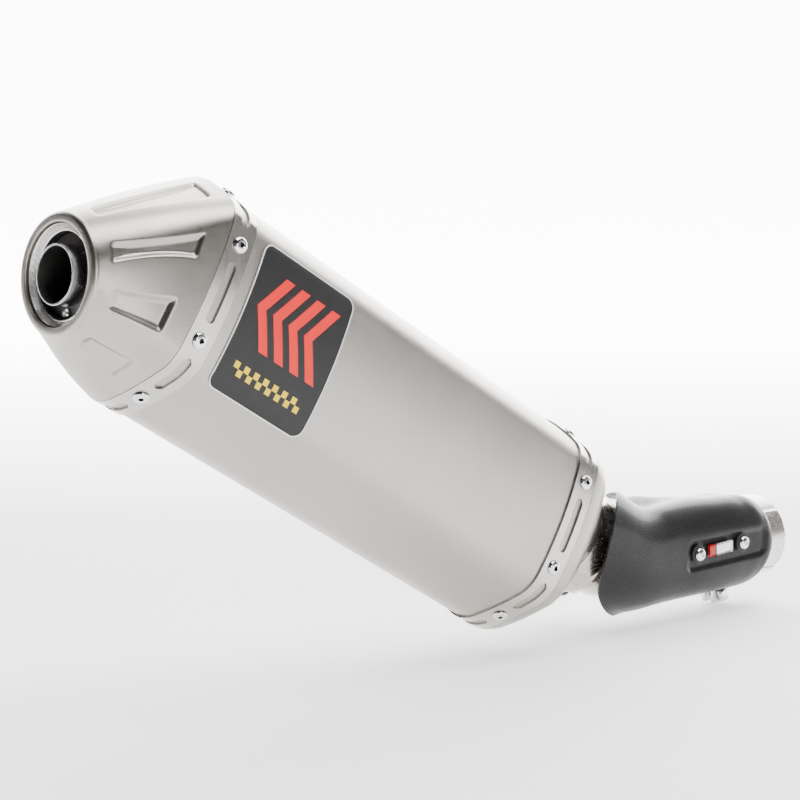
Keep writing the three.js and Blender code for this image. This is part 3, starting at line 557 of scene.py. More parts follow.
class Graph:
    """A material's node tree, built up by short calls."""

    def __init__(self, name: str, material: Material | None = None) -> None:
        """Starts a material with one Principled shader, or goes on with one.

        Args:
            name: The material's name.
            material: The material to go on with.
        """
        self.material = material or bpy.data.materials.new(name)
        self.material.use_nodes = True
        self.tree = self.material.node_tree
        self.shader = self.tree.nodes["Principled BSDF"]

    def add(self, kind: str, inputs: dict[str | int, object] | None = None, **settings: object) -> bpy.types.Node:
        """Adds a node.

        Args:
            kind: The node's type.
            inputs: Values or sockets for its inputs, by name or number.
            **settings: The node's own settings.

        Returns:
            The node.
        """
        node = self.tree.nodes.new(kind)
        for key, value in settings.items():
            setattr(node, key, value)
        for key, value in (inputs or {}).items():
            self.plug(node.inputs[key], value)
        return node

    def plug(self, socket: Socket, value: object) -> None:
        """Links a socket to another socket, or sets its value."""
        if isinstance(value, Socket):
            self.tree.links.new(value, socket)
        else:
            socket.default_value = value

    def math(self, operation: str, a: object, b: object = 0.0, c: object = 0.0) -> Socket:
        """A Math node's result."""
        node = self.add("ShaderNodeMath", operation=operation)
        for socket, value in zip(node.inputs, (a, b, c)):
            self.plug(socket, value)
        return node.outputs[0]

    def mapped(
        self, source: str = "Object", scale: Sequence[float] = (1, 1, 1), turn: Sequence[float] = (0, 0, 0)
    ) -> Socket:
        """Texture coordinates through a Mapping node.

        Args:
            source: Object or UV.
            scale: The scale.
            turn: The rotation, in radians.

        Returns:
            The coordinates' socket.
        """
        coords = self.add("ShaderNodeTexCoord")
        node = self.add("ShaderNodeMapping", {"Vector": coords.outputs[source], "Scale": scale, "Rotation": turn})
        return node.outputs[0]

    def noise(self, vector: Socket, scale: float, detail: float = 3, rough: float = 0.55) -> Socket:
        """A noise texture's factor."""
        node = self.add("ShaderNodeTexNoise", {"Vector": vector, "Scale": scale, "Detail": detail, "Roughness": rough})
        return node.outputs["Fac"]

    def ramp(self, factor: Socket, *stops: tuple[float, Sequence[float]]) -> Socket:
        """A colour ramp's colour.

        Args:
            factor: What drives it.
            *stops: Positions and linear colours.

        Returns:
            The colour's socket.
        """
        node = self.add("ShaderNodeValToRGB", {"Fac": factor})
        elements = node.color_ramp.elements
        while len(elements) < len(stops):
            elements.new(0.5)
        for element, (position, colour) in zip(elements, stops):
            element.position = position
            element.color = (*colour, 1)
        return node.outputs["Color"]

    def span(self, factor: Socket, low: float, high: float, source: Pair = (0, 1)) -> Socket:
        """Maps a factor's range onto another."""
        node = self.add(
            "ShaderNodeMapRange",
            {"Value": factor, "From Min": source[0], "From Max": source[1], "To Min": low, "To Max": high},
        )
        return node.outputs[0]

    def mix(self, factor: object, a: object, b: object) -> Socket:
        """Mixes two colours."""
        node = self.add("ShaderNodeMix", data_type="RGBA")
        self.plug(node.inputs["Factor"], factor)
        self.plug(node.inputs[6], a)
        self.plug(node.inputs[7], b)
        return node.outputs[2]

    def bump(self, height: Socket, depth: float, strength: float = 1.0) -> None:
        """Drives the shader's normal with a height in 0 to 1.

        Args:
            height: The height.
            depth: Its size in metres.
            strength: How much of it shows.
        """
        below = self.shader.inputs["Normal"]
        inputs = {"Height": height, "Distance": depth, "Strength": strength}
        if below.is_linked:
            inputs["Normal"] = below.links[0].from_socket
        self.plug(below, self.add("ShaderNodeBump", inputs).outputs[0])

    def set(self, **values: object) -> None:
        """Sets the shader's sockets; underscores stand for spaces."""
        for key, value in values.items():
            self.plug(self.shader.inputs[key.replace("_", " ")], value)


@dataclass(frozen=True)
class Metal:
    """A metal finish.

    Attributes:
        name: The material's name.
        dark, light: Linear colours between which it drifts.
        roughness: Lowest and highest roughness.
        grain: Scale of its grain in cycles a metre.
        stretch: How the grain is drawn out along x, y and z; small is long.
        depth: Height of the grain in metres.
        turn: Turn of the grain about y, in radians.
        blotch: Scale of the slow colour drift.
    """

    name: str
    dark: Colour
    light: Colour
    roughness: Pair
    grain: float = 900
    stretch: Colour = (1, 1, 1)
    depth: float = 0.00002
    turn: float = 0.0
    blotch: float = 14

    def make(self) -> Material:
        """Builds the material."""
        g = Graph(self.name)
        drawn = g.mapped(scale=self.stretch, turn=(0, self.turn, 0))
        plain = g.mapped()
        grain = g.noise(drawn, self.grain, 4, 0.6)
        drift = g.noise(plain, self.blotch, 2, 0.5)
        scuff = g.noise(plain, self.blotch * 9, 5, 0.65)
        tone = g.math("ADD", g.math("MULTIPLY", drift, 0.7), g.math("MULTIPLY", grain, 0.3))
        g.set(Base_Color=g.ramp(tone, (0.3, self.dark), (0.7, self.light)))
        low, high = self.roughness
        mixed = g.math("ADD", g.math("MULTIPLY", grain, 0.45), g.math("MULTIPLY", scuff, 0.55))
        g.set(Roughness=g.span(mixed, low, high, (0.3, 0.7)), Metallic=1.0)
        g.bump(grain, self.depth)
        return g.material


@dataclass(frozen=True)
class WeldedMetal(Metal):
    """Metal with a faint straw tint where it has been hot, near one station along x.

    Attributes:
        hot: Station of the hottest place.
        reach: How far the tint carries.
    """

    hot: float = 0.0
    reach: float = 0.03

    def make(self) -> Material:
        """Builds the metal, then tints it."""
        g = Graph(self.name, super().make())
        base = g.shader.inputs["Base Color"].links[0].from_socket
        split = g.add("ShaderNodeSeparateXYZ", {0: g.mapped()})
        away = g.math("ABSOLUTE", g.math("SUBTRACT", split.outputs[0], self.hot))
        near = g.span(away, 1.0, 0.0, (0.0, self.reach))
        straw = g.mix(near, (0.62, 0.60, 0.57, 1), (0.66, 0.50, 0.30, 1))
        g.set(Base_Color=g.mix(g.math("MULTIPLY", near, 0.35), base, straw))
        return g.material


@dataclass(frozen=True)
class Weave:
    """Gloss carbon weave under clear lacquer, laid by the piece's own UV map in metres.

    Attributes:
        name: The material's name.
        tow: Width of one tow.
        dark, light: Linear colours of the tows' edges and crowns; the lighter crowns are a painted sheen.
    """

    name: str
    tow: float = 0.0011
    dark: Colour = (0.001, 0.001, 0.001)
    light: Colour = (0.022, 0.022, 0.023)

    def make(self) -> Material:
        """Builds the material: a two-and-two twill of warp and weft tows."""
        g = Graph(self.name)
        split = g.add("ShaderNodeSeparateXYZ", {0: g.mapped("UV", (1 / self.tow,) * 3)})
        u, v = split.outputs[0], split.outputs[1]
        step = g.math("ADD", g.math("FLOOR", u), g.math("FLOOR", v))
        over = g.math("LESS_THAN", g.math("MODULO", g.math("ADD", g.math("MODULO", step, 4), 4.25), 4), 2)
        crown = lambda value: g.math("SINE", g.math("MULTIPLY", g.math("FRACT", value), math.pi))
        warp, weft = crown(u), crown(v)
        height = g.math("ADD", g.math("MULTIPLY", over, warp), g.math("MULTIPLY", g.math("SUBTRACT", 1.0, over), weft))
        threads = g.noise(g.mapped("UV", (6, 1, 1)), 900, 2)
        # Each tow is painted lighter on its crown and darker at its edges, a painted sheen with painted shade between
        # tows, mixed with fine thread grain.
        lit = g.math("ADD", g.math("MULTIPLY", height, 0.7), g.math("MULTIPLY", threads, 0.3))
        colour = g.ramp(lit, (0.25, self.dark), (0.85, self.light))
        drift = g.noise(g.mapped(), 18, 2)
        g.set(
            Base_Color=colour,
            Metallic=0.0,
            Roughness=g.span(drift, 0.26, 0.38),
            Coat_Weight=0.14,
            Coat_Roughness=0.08,
            Specular_IOR_Level=0.08,
        )
        g.bump(height, 0.00006, 0.5)
        return g.material


@dataclass(frozen=True)
class Soft:
    """Rubber, fibre or graphite.

    Attributes:
        name: The material's name.
        dark, light: Linear colours between which it drifts.
        roughness: Lowest and highest roughness.
        grain: Scale of its grain in cycles a metre.
        depth: Height of the grain in metres.
    """

    name: str
    dark: Colour
    light: Colour
    roughness: Pair = (0.55, 0.8)
    grain: float = 700
    depth: float = 0.00005

    def make(self) -> Material:
        """Builds the material."""
        g = Graph(self.name)
        grain = g.noise(g.mapped(), self.grain, 5, 0.7)
        drift = g.noise(g.mapped(), 30, 3)
        tone = g.math("ADD", g.math("MULTIPLY", grain, 0.5), g.math("MULTIPLY", drift, 0.5))
        g.set(Base_Color=g.ramp(tone, (0.3, self.dark), (0.7, self.light)), Metallic=0.0)
        g.set(Roughness=g.span(tone, self.roughness[0], self.roughness[1], (0.3, 0.7)))
        g.bump(grain, self.depth)
        return g.material


@dataclass(frozen=True)
class Print:
    """A printed label, drawn by the piece's UV map in metres from its middle.

    Attributes:
        name: The material's name.
        half: Half the label's length and height.
        corner: Radius of its corners.
        edge: Width of the light edge line.
    """

    name: str
    half: Pair
    corner: float = 0.007
    edge: float = 0.0009

    def box(self, g: Graph, u: object, v: object, half: Pair, corner: float) -> Socket:
        """Distance from a rounded rectangle about the origin, below 0 inside."""
        x = g.math("SUBTRACT", g.math("ABSOLUTE", u), half[0] - corner)
        y = g.math("SUBTRACT", g.math("ABSOLUTE", v), half[1] - corner)
        px, py = g.math("MAXIMUM", x, 0.0), g.math("MAXIMUM", y, 0.0)
        outside = g.math("SQRT", g.math("ADD", g.math("MULTIPLY", px, px), g.math("MULTIPLY", py, py)))
        inside = g.math("MINIMUM", g.math("MAXIMUM", x, y), 0.0)
        return g.math("SUBTRACT", g.math("ADD", outside, inside), corner)

    def inside(self, g: Graph, distance: Socket) -> Socket:
        """1 where a distance is below 0."""
        return g.math("LESS_THAN", distance, 0.0)

    def make(self) -> Material:
        """Builds the label: a dark ground, a light edge, a red band of bars and a row of pale blocks."""
        g = Graph(self.name)
        split = g.add("ShaderNodeSeparateXYZ", {0: g.mapped("UV")})
        u, v = split.outputs[0], split.outputs[1]
        black, light = (0.008, 0.008, 0.009, 1), (0.72, 0.72, 0.70, 1)
        red, yellow = (0.85, 0.008, 0.004, 1), (0.9, 0.62, 0.006, 1)
        rim = self.box(g, u, v, self.half, self.corner)
        colour = g.mix(g.math("GREATER_THAN", rim, -self.edge), black, light)
        height = self.half[1]
        shifted = g.math("SUBTRACT", v, height * 0.2)
        slant = g.math("ADD", u, g.math("MULTIPLY", g.math("ABSOLUTE", shifted), 0.6))
        tall, pitch = height * 0.5, self.half[0] * 0.34
        spaced = g.math("SUBTRACT", slant, tall * 0.3 + pitch * 0.22)
        band = self.inside(g, self.box(g, spaced, shifted, (pitch * 2, tall), 0.0))
        bars = g.math("LESS_THAN", g.math("FRACT", g.math("DIVIDE", spaced, pitch)), 0.56)
        colour = g.mix(g.math("MULTIPLY", band, bars), colour, red)
        low = g.math("ADD", v, height * 0.62)
        cell = self.half[0] * 0.72 / 7
        strip = self.inside(g, self.box(g, u, low, (cell * 7, cell), 0.0))
        parity = g.math("ADD", g.math("FLOOR", g.math("DIVIDE", u, cell)), g.math("FLOOR", g.math("DIVIDE", low, cell)))
        check = g.math("LESS_THAN", g.math("FRACT", g.math("MULTIPLY", parity, 0.5)), 0.25)
        colour = g.mix(g.math("MULTIPLY", strip, check), colour, yellow)
        speck = g.noise(g.mapped(), 1500, 3)
        g.set(Base_Color=colour, Metallic=0.0, Roughness=g.span(speck, 0.34, 0.46), Specular_IOR_Level=0.35)
        g.bump(speck, 0.00001)
        return g.material


@dataclass(frozen=True)
class Plate:
    """The small shield badge: a red block, then a bright brushed block, by UV in metres from its middle.

    Attributes:
        name: The material's name.
        split: Where the red gives way.
    """

    name: str
    split: float = -0.0045

    def make(self) -> Material:
        """Builds the material."""
        g = Graph(self.name)
        parts = g.add("ShaderNodeSeparateXYZ", {0: g.mapped("UV")})
        u = parts.outputs[0]
        brushed = g.noise(g.mapped("UV", (1, 14, 1)), 500, 3)
        silver = g.ramp(brushed, (0.3, (0.55, 0.56, 0.58)), (0.7, (0.85, 0.86, 0.88)))
        left = g.math("LESS_THAN", u, self.split)
        line = g.math("LESS_THAN", g.math("ABSOLUTE", g.math("SUBTRACT", u, self.split)), 0.0005)
        colour = g.mix(left, silver, (0.42, 0.012, 0.012, 1))
        g.set(
            Base_Color=g.mix(line, colour, (0.02, 0.02, 0.02, 1)),
            Metallic=g.math("SUBTRACT", 1.0, left),
            Roughness=g.span(brushed, 0.2, 0.35),
        )
        return g.material


class Finishes:
    """Every material, made once."""

    def __init__(self, muffler: MufflerFrame) -> None:
        """Makes the materials.

        Args:
            muffler: The muffler's axes, for the run of its grain.
        """
        pitch = math.atan2(-muffler.along[2], muffler.along[0])
        self.satin = Metal(
            "satin titanium",
            dark=(0.385, 0.36, 0.335),
            light=(0.455, 0.43, 0.40),
            roughness=(0.30, 0.40),
            grain=500,
            stretch=(0.16, 1, 1),
            depth=0.000012,
            turn=pitch,
        ).make()
        self.blasted = Metal(
            "blasted titanium",
            dark=(0.34, 0.32, 0.295),
            light=(0.45, 0.425, 0.395),
            roughness=(0.26, 0.36),
            grain=2600,
            depth=0.00005,
            blotch=20,
        ).make()
        self.polished = Metal(
            "polished titanium",
            dark=(0.48, 0.455, 0.425),
            light=(0.60, 0.575, 0.54),
            roughness=(0.14, 0.24),
            grain=420,
            stretch=(1, 0.12, 0.12),
            depth=0.00001,
            turn=pitch,
        ).make()
        self.pipe = WeldedMetal(
            "pipe titanium",
            dark=(0.55, 0.52, 0.48),
            light=(0.68, 0.65, 0.61),
            roughness=(0.22, 0.32),
            grain=500,
            stretch=(0.2, 1, 1),
            depth=0.000003,
            hot=-0.16,
            reach=0.06,
        ).make()
        self.ripple = Metal(
            "rippled collar", (0.48, 0.47, 0.45), (0.80, 0.78, 0.75), (0.24, 0.42), 1300, (1, 1, 1), 0.00009
        ).make()
        self.steel = Metal("stainless steel", (0.56, 0.56, 0.57), (0.70, 0.70, 0.71), (0.18, 0.30), 800).make()
        # Near-black steel, painted shade: it darkens the faces deep inside the outlet and the pieces inside the
        # muffler.
        self.painted_shade_steel = Metal("painted shade steel", (0.035, 0.034, 0.033), (0.12, 0.115, 0.11), (0.35, 0.6), 900).make()
        self.bright = Metal(
            "bright fastener", (0.72, 0.72, 0.74), (0.85, 0.85, 0.87), (0.08, 0.16), depth=0.000006
        ).make()
        self.carbon = Weave("carbon weave").make()
        self.rubber = Soft("black rubber", (0.006, 0.006, 0.006), (0.022, 0.022, 0.023)).make()
        # Near-black, painted shade down the rivets' bores.
        self.bore = Soft("rivet bore shade", (0.002, 0.002, 0.002), (0.006, 0.006, 0.006)).make()
        self.graphite = Soft("graphite", (0.02, 0.02, 0.022), (0.06, 0.06, 0.064), (0.4, 0.65), 900, 0.00008).make()
        self.wool = Soft("mineral wool", (0.50, 0.44, 0.29), (0.72, 0.66, 0.50), (0.85, 0.98), 260, 0.0008).make()


# ---------------------------------------------------------------- muffler shell


@dataclass
class Shell:
    """The sleeve, its two riveted straps and its badge, which are all wrapped on the section.

    Attributes:
        muffler: The muffler's axes.
        finishes: The materials.
        section: The section's sizes.
        strap_width: Width of a strap.
        sheet: Thickness of the sheet.
        seat: Clearance between pieces.
    """

    muffler: MufflerFrame
    finishes: Finishes
    section: Section = field(default_factory=Section)
    strap_width: float = 18 * MM
    sheet: float = 1.0 * MM
    seat: float = 0.3 * MM
    slot_width: float = 6.5 * MM
    slot_clearance: float = 11 * MM
    cutter_depth: float = 6 * MM
    hole_radius: float = 2.7 * MM
    rivet_radius: float = 4.75 * MM
    rivet_height: float = 2.3 * MM
    bore_radius: float = 1.55 * MM
    badge_start: float = 27 * MM
    badge_length: float = 76 * MM
    badge_top: float = 42 * MM
    badge_turn: float = 214
    badge_thickness: float = 0.4 * MM
    badge_corner: float = 7 * MM

    def __post_init__(self) -> None:
        """Measures the outline, so that pieces can be wrapped on it by distance round it."""
        line = self.section.outline()
        step = np.hypot(np.diff(line[:, 0]), np.diff(line[:, 1]))
        self.line, self.reach = line, np.r_[0, np.cumsum(step)]
        self.girth = float(self.reach[-1])

    @property
    def sleeve_inset(self) -> float:
        """How far the sleeve lies inside the straps' outer face."""
        return self.sheet + self.seat

    @property
    def stations(self) -> dict[str, float]:
        """The middle of each strap, by its name."""
        half = self.strap_width / 2
        return {"outlet": half, "inlet": self.muffler.length - half}

    def at(self, distance: np.ndarray) -> tuple[np.ndarray, np.ndarray, np.ndarray]:
        """The outline at distances round it: y, z and normal angle in radians."""
        wrapped = np.mod(distance, self.girth)
        y, z, turn = (np.interp(wrapped, self.reach, self.line[:, i]) for i in range(3))
        return y, z, np.radians(turn)

    def wrap(self, obj: Piece, lift: float) -> None:
        """Wraps a flat piece: its x goes round the section, its y along the muffler and its z outwards.

        Args:
            obj: The flat piece.
            lift: Height of its z = 0 over the straps' outer face.
        """
        flat = Bench.points(obj)
        y, z, turn = self.at(flat[:, 0])
        out = flat[:, 2] + lift
        local = np.stack([flat[:, 1], y + out * np.cos(turn), z + out * np.sin(turn)], 1)
        Bench.put(obj, self.muffler.place(local))

    def rivet_places(self) -> dict[str, float]:
        """Distance round the outline of each rivet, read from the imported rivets."""
        places = {}
        for name in frame["nodes"]:
            if not name.startswith("rivet_outlet_"):
                continue
            middle = node_points(name).mean(0) - self.muffler.origin
            y, z = float(middle @ self.muffler.across), float(middle @ self.muffler.up)
            turn = np.radians(self.line[:, 2])
            away = (self.line[:, 0] - y) * -np.sin(turn) + (self.line[:, 1] - z) * np.cos(turn)
            front = (y * np.cos(turn) + z * np.sin(turn)) > 0
            close = np.hypot(self.line[:, 0] - y, self.line[:, 1] - z) < 22 * MM
            score = np.where(front & close, np.abs(away), 9)
            best = int(np.argmin(score))
            near = [i for i in (best - 1, best, best + 1) if 0 <= i < len(away)]
            order = np.argsort(away[near])
            places[name.removeprefix("rivet_outlet_")] = float(
                np.interp(0.0, away[near][order], self.reach[near][order])
            )
        return places

    def plate(self, name: str, start: float, length: float, low: float, high: float, thickness: float) -> Piece:
        """A flat plate, cut fine enough to be wrapped.

        Args:
            name: The new object's name.
            start, length: Where it starts round the section, and how long it is.
            low, high: Its two edges along the muffler.
            thickness: Its thickness, below z = 0.

        Returns:
            The plate, unwrapped.
        """
        middle = (start + length / 2, (low + high) / 2, -thickness / 2)
        return Bench.box(name, (length, high - low, thickness), middle)

    def slot_cutter(self, start: float, end: float, middle: float, pointed: bool) -> Piece:
        """A prism that cuts one slot.

        Args:
            start, end: Its two ends round the section.
            middle: The strap's middle along the muffler.
            pointed: Whether its ends are cut to a blunt point and not rounded.

        Returns:
            The cutter.
        """
        size = (end - start, self.slot_width, self.cutter_depth)
        cutter = Bench.box("slot_cutter", size, ((start + end) / 2, middle, 0))
        amount = self.slot_width * (0.36 if pointed else 0.46)
        Bench.round_edges(cutter, lambda a, b: abs(a.z - b.z) > MM, amount, 1 if pointed else 6)
        return cutter

    def strap(self, band: str) -> Piece:
        """One strap, slotted between its rivets.

        Args:
            band: outlet or inlet.

        Returns:
            The strap.
        """
        station, half = self.stations[band], self.strap_width / 2
        seam = self.girth * 0.62
        obj = self.plate(f"{band}_strap_band", seam, self.girth, station - half, station + half, self.sheet)
        places = sorted((p - seam) % self.girth + seam for p in self.rivet_places().values())
        tools = [Bench.rod(self.hole_radius, self.cutter_depth + 2 * MM, (p, station, 0), 28) for p in places]
        gaps = list(zip(places, places[1:] + [places[0] + self.girth]))
        longest = max(b - a for a, b in gaps)
        for a, b in gaps:
            start, end = a + self.slot_clearance, b - self.slot_clearance
            over_the_seam = end > seam + self.girth
            for shift in (0.0, -self.girth) if over_the_seam else (0.0,):
                tools.append(self.slot_cutter(start + shift, end + shift, station, b - a < longest * 0.95))
        Bench.cut_away(obj, *tools)
        Bench.bisect(obj, seam, self.girth, 150, (1, 0, 0))
        Bench.take(obj)
        bpy.ops.object.mode_set(mode="EDIT")
        bpy.ops.mesh.select_mode(type="FACE")
        bpy.ops.mesh.select_all(action="DESELECT")
        bpy.ops.object.mode_set(mode="OBJECT")
        for face in obj.data.polygons:
            face.select = abs(face.normal.x) > 0.99 and min(
                abs(face.center.x - seam), abs(face.center.x - seam - self.girth)
            ) < 1e-5
        bpy.ops.object.mode_set(mode="EDIT")
        bpy.ops.mesh.delete(type="FACE")
        bpy.ops.object.mode_set(mode="OBJECT")
        Bench.ease_edges(obj, 0.2 * MM, 2)
        self.wrap(obj, 0.0)
        Bench.merge(obj, 5e-6)
        Bench.smooth(obj, 32)
        return Bench.fit(obj, Body.MUFFLER, Slot.POLISHED, self.finishes.polished, f"{band}_strap")

    def sleeve(self) -> Piece:
        """The sleeve between the caps, under both straps."""
        columns = self.section.columns(321, 0.5)
        outer, inner = self.sleeve_inset, self.sleeve_inset + self.sheet
        stops = np.linspace(0, self.muffler.length, 24)
        rings = [section_ring(columns, x, outer) for x in stops]
        rings += [section_ring(columns, x, inner) for x in stops[::-1]]
        rings.append(rings[0])
        obj = Bench.rolled("sleeve_shell", self.muffler.place(np.array(rings)))
        Bench.smooth(obj, 40)
        return Bench.fit(obj, Body.MUFFLER, Slot.SATIN, self.finishes.satin, "outer_sleeve")

    def rivet(self) -> Piece:
        """One blind rivet on the z axis, seated at z = 0, with its open bore."""
        r, h, bore, grip = self.rivet_radius, self.rivet_height, self.bore_radius, 5.2 * MM
        profile = [
            (0.0, h - 1.5 * MM),
            (bore, h - 1.5 * MM),
            (bore, h - 0.25 * MM),
            (bore + 0.25 * MM, h),
            (r * 0.62, h * 0.97),
            (r * 0.82, h * 0.80),
            (r * 0.95, h * 0.48),
            (r, h * 0.26),
            (r, self.seat + 0.1 * MM),
            (r - 0.2 * MM, self.seat),
            (self.hole_radius - self.seat, self.seat),
            (self.hole_radius - self.seat, -grip),
            (3.3 * MM, -grip),
            (2.9 * MM, -grip - 2.4 * MM),
            (0.0, -grip - 2.6 * MM),
        ]
        return Turning.spin("rivet_pattern", profile, 32)

    def rivets(self) -> list[Piece]:
        """Every rivet, copied from one pattern."""
        pattern = self.rivet()
        made = []
        for band, station in self.stations.items():
            for place, distance in self.rivet_places().items():
                y, z, turn = (float(v[0]) for v in self.at(np.array([distance])))
                obj = Bench.link(f"{band}_rivet_{place}", pattern.data.copy())
                out = np.array([0, math.cos(turn), math.sin(turn)])
                side = np.array([1.0, 0, 0])
                local = np.eye(4)
                local[:3, 0], local[:3, 1], local[:3, 2] = side, np.cross(out, side), out
                local[:3, 3] = (station, y, z)
                obj.data.transform(self.muffler.matrix() @ Matrix(local.tolist()))
                Bench.smooth(obj, 40)
                Bench.fit(obj, Body.MUFFLER, Slot.STEEL, self.finishes.bright, f"rivet_{band}_{place}")
                # The second material is near-black, painted shade in each rivet's hole; it goes to the faces down the
                # bore.
                obj.data.materials.append(self.finishes.bore)
                centre = Vector(self.muffler.place(np.array([station, y, z])).tolist())
                normal = Vector((self.muffler.across * out[1] + self.muffler.up * out[2]).tolist())
                for face in obj.data.polygons:
                    offset = face.center - centre
                    height = offset.dot(normal)
                    radial = (offset - normal * height).length
                    if radial < self.bore_radius * 1.02 and 0 < height < self.rivet_height - 0.2 * MM:
                        face.material_index = 1
                made.append(obj)
        bpy.data.objects.remove(pattern)
        return made

    def badge(self) -> Piece:
        """The printed badge on the outer side of the sleeve."""
        right = (self.line[:, 2] > 90) & (self.line[:, 2] < 215)
        order = np.argsort(-self.line[right, 1])
        start = float(np.interp(-self.badge_top, -self.line[right, 1][order], self.reach[right][order]))
        end = float(np.interp(self.badge_turn, self.line[:, 2], self.reach))
        length = end - start
        low, high = self.badge_start, self.badge_start + self.badge_length
        obj = self.plate("sleeve_label", start, length, low, high, self.badge_thickness)
        upright = lambda a, b: abs(a.x - b.x) < 1e-6 and abs(a.y - b.y) < 1e-6
        Bench.round_edges(obj, upright, self.badge_corner, 8)
        Bench.bisect(obj, start, length, 60, (1, 0, 0))
        Bench.ease_edges(obj, 0.08 * MM, 1)
        self.metre_map(obj, (low + high) / 2, start + length / 2)
        self.wrap(obj, self.badge_thickness - self.sleeve_inset + self.seat)
        Bench.smooth(obj, 35)
        look = Print("badge print", (self.badge_length / 2, length / 2)).make()
        return Bench.fit(obj, Body.MUFFLER, Slot.LABEL, look, "sleeve_badge")

    def metre_map(self, obj: Piece, middle_y: float, middle_x: float) -> None:
        """Gives a flat piece a UV map in metres from its middle: u along the muffler to the front, v upwards."""
        layer = Bench.uv_layer(obj)
        for loop in obj.data.loops:
            co = obj.data.vertices[loop.vertex_index].co
            layer.data[loop.index].uv = (middle_y - co.y, middle_x - co.x)

    def build(self) -> list[Piece]:
        """Builds the shell's pieces."""
        return [self.sleeve(), self.strap("outlet"), self.strap("inlet"), *self.rivets(), self.badge()]


class Turning:
    """Turned pieces made by spinning a profile, as on a lathe."""

    @staticmethod
    def spin(name: str, profile: Sequence[Pair], steps: int) -> Piece:
        """Draws a profile point by point and spins it about the z axis.

        Args:
            name: The new object's name.
            profile: Radius and height of each corner; it starts and ends on the axis, or closes on itself.
            steps: Steps round.

        Returns:
            The turned piece, closed and with its faces out.
        """
        Bench.clear()
        bpy.ops.mesh.primitive_plane_add(size=1)
        obj = bpy.context.object
        obj.name = obj.data.name = name
        bpy.ops.object.mode_set(mode="EDIT")
        bpy.ops.mesh.select_all(action="SELECT")
        bpy.ops.mesh.merge(type="CENTER")
        bpy.ops.mesh.select_mode(type="VERT")
        bpy.ops.mesh.select_all(action="SELECT")
        bpy.ops.transform.translate(value=(profile[0][0], 0, profile[0][1]))
        for (r0, h0), (r1, h1) in zip(profile, profile[1:]):
            bpy.ops.mesh.extrude_vertices_move(TRANSFORM_OT_translate={"value": (r1 - r0, 0, h1 - h0)})
        bpy.ops.mesh.select_all(action="SELECT")
        bpy.ops.mesh.spin(steps=steps, angle=2 * math.pi, center=(0, 0, 0), axis=(0, 0, 1))
        bpy.ops.mesh.select_all(action="SELECT")
        bpy.ops.mesh.remove_doubles(threshold=2e-6)
        bpy.ops.mesh.normals_make_consistent(inside=False)
        bpy.ops.object.mode_set(mode="OBJECT")
        return obj


def aim(origin: Sequence[float], direction: Sequence[float]) -> Matrix:
    """Stands the z axis along a direction at a point.

    Args:
        origin: Where the piece's own origin goes.
        direction: Where its z axis points.

    Returns:
        The matrix.
    """
    turn = Vector((0, 0, 1)).rotation_difference(Vector([float(v) for v in direction]))
    return Matrix.Translation(Vector([float(v) for v in origin])) @ turn.to_matrix().to_4x4()


def ease(t: np.ndarray) -> np.ndarray:
    """Eases a share of 0 to 1 in and out."""
    return t * t * (3 - 2 * t)


def rounded_box(across: np.ndarray, up: np.ndarray, wide: object, high: object, corner: float) -> np.ndarray:
    """Distance from a rounded rectangle about the origin, below 0 inside.

    Args:
        across, up: The places.
        wide, high: Half the rectangle's width and height.
        corner: Radius of its corners.

    Returns:
        The distances.
    """
    dx, dy = np.abs(across) - (wide - corner), np.abs(up) - (high - corner)
    return np.hypot(np.maximum(dx, 0), np.maximum(dy, 0)) + np.minimum(np.maximum(dx, dy), 0) - corner


def smooth_through(stops: Sequence[float], values: np.ndarray, at: np.ndarray) -> np.ndarray:
    """A curve through given values with no overshoot at its ends.

    Args:
        stops: Where the values are given, rising.
        values: The values, one row for each stop.
        at: Where the curve is wanted.

    Returns:
        One row for each wanted place.
    """
    x, y = np.asarray(stops, float), np.asarray(values, float)
    slope = np.gradient(y, x, axis=0)
    i = np.clip(np.searchsorted(x, at, side="right") - 1, 0, len(x) - 2)
    width = x[i + 1] - x[i]
    t = ((at - x[i]) / width).reshape((-1,) + (1,) * (y.ndim - 1))
    w = width.reshape(t.shape)
    return (
        (2 * t**3 - 3 * t**2 + 1) * y[i]
        + (t**3 - 2 * t**2 + t) * w * slope[i]
        + (3 * t**2 - 2 * t**3) * y[i + 1]
        + (t**3 - t**2) * w * slope[i + 1]
    )


# ---------------------------------------------------------------- caps and outlet


@dataclass(frozen=True)
class Pad:
    """A recessed pad of the outlet cap, in millimetres.

    Attributes:
        rim, lip: Its two edges at either end, as distances round the section from the top's middle.
        start, end: What is left between the pad and the rim, and between the pad and the lip.
    """

    rim: Pair
    lip: Pair
    start: float
    end: float


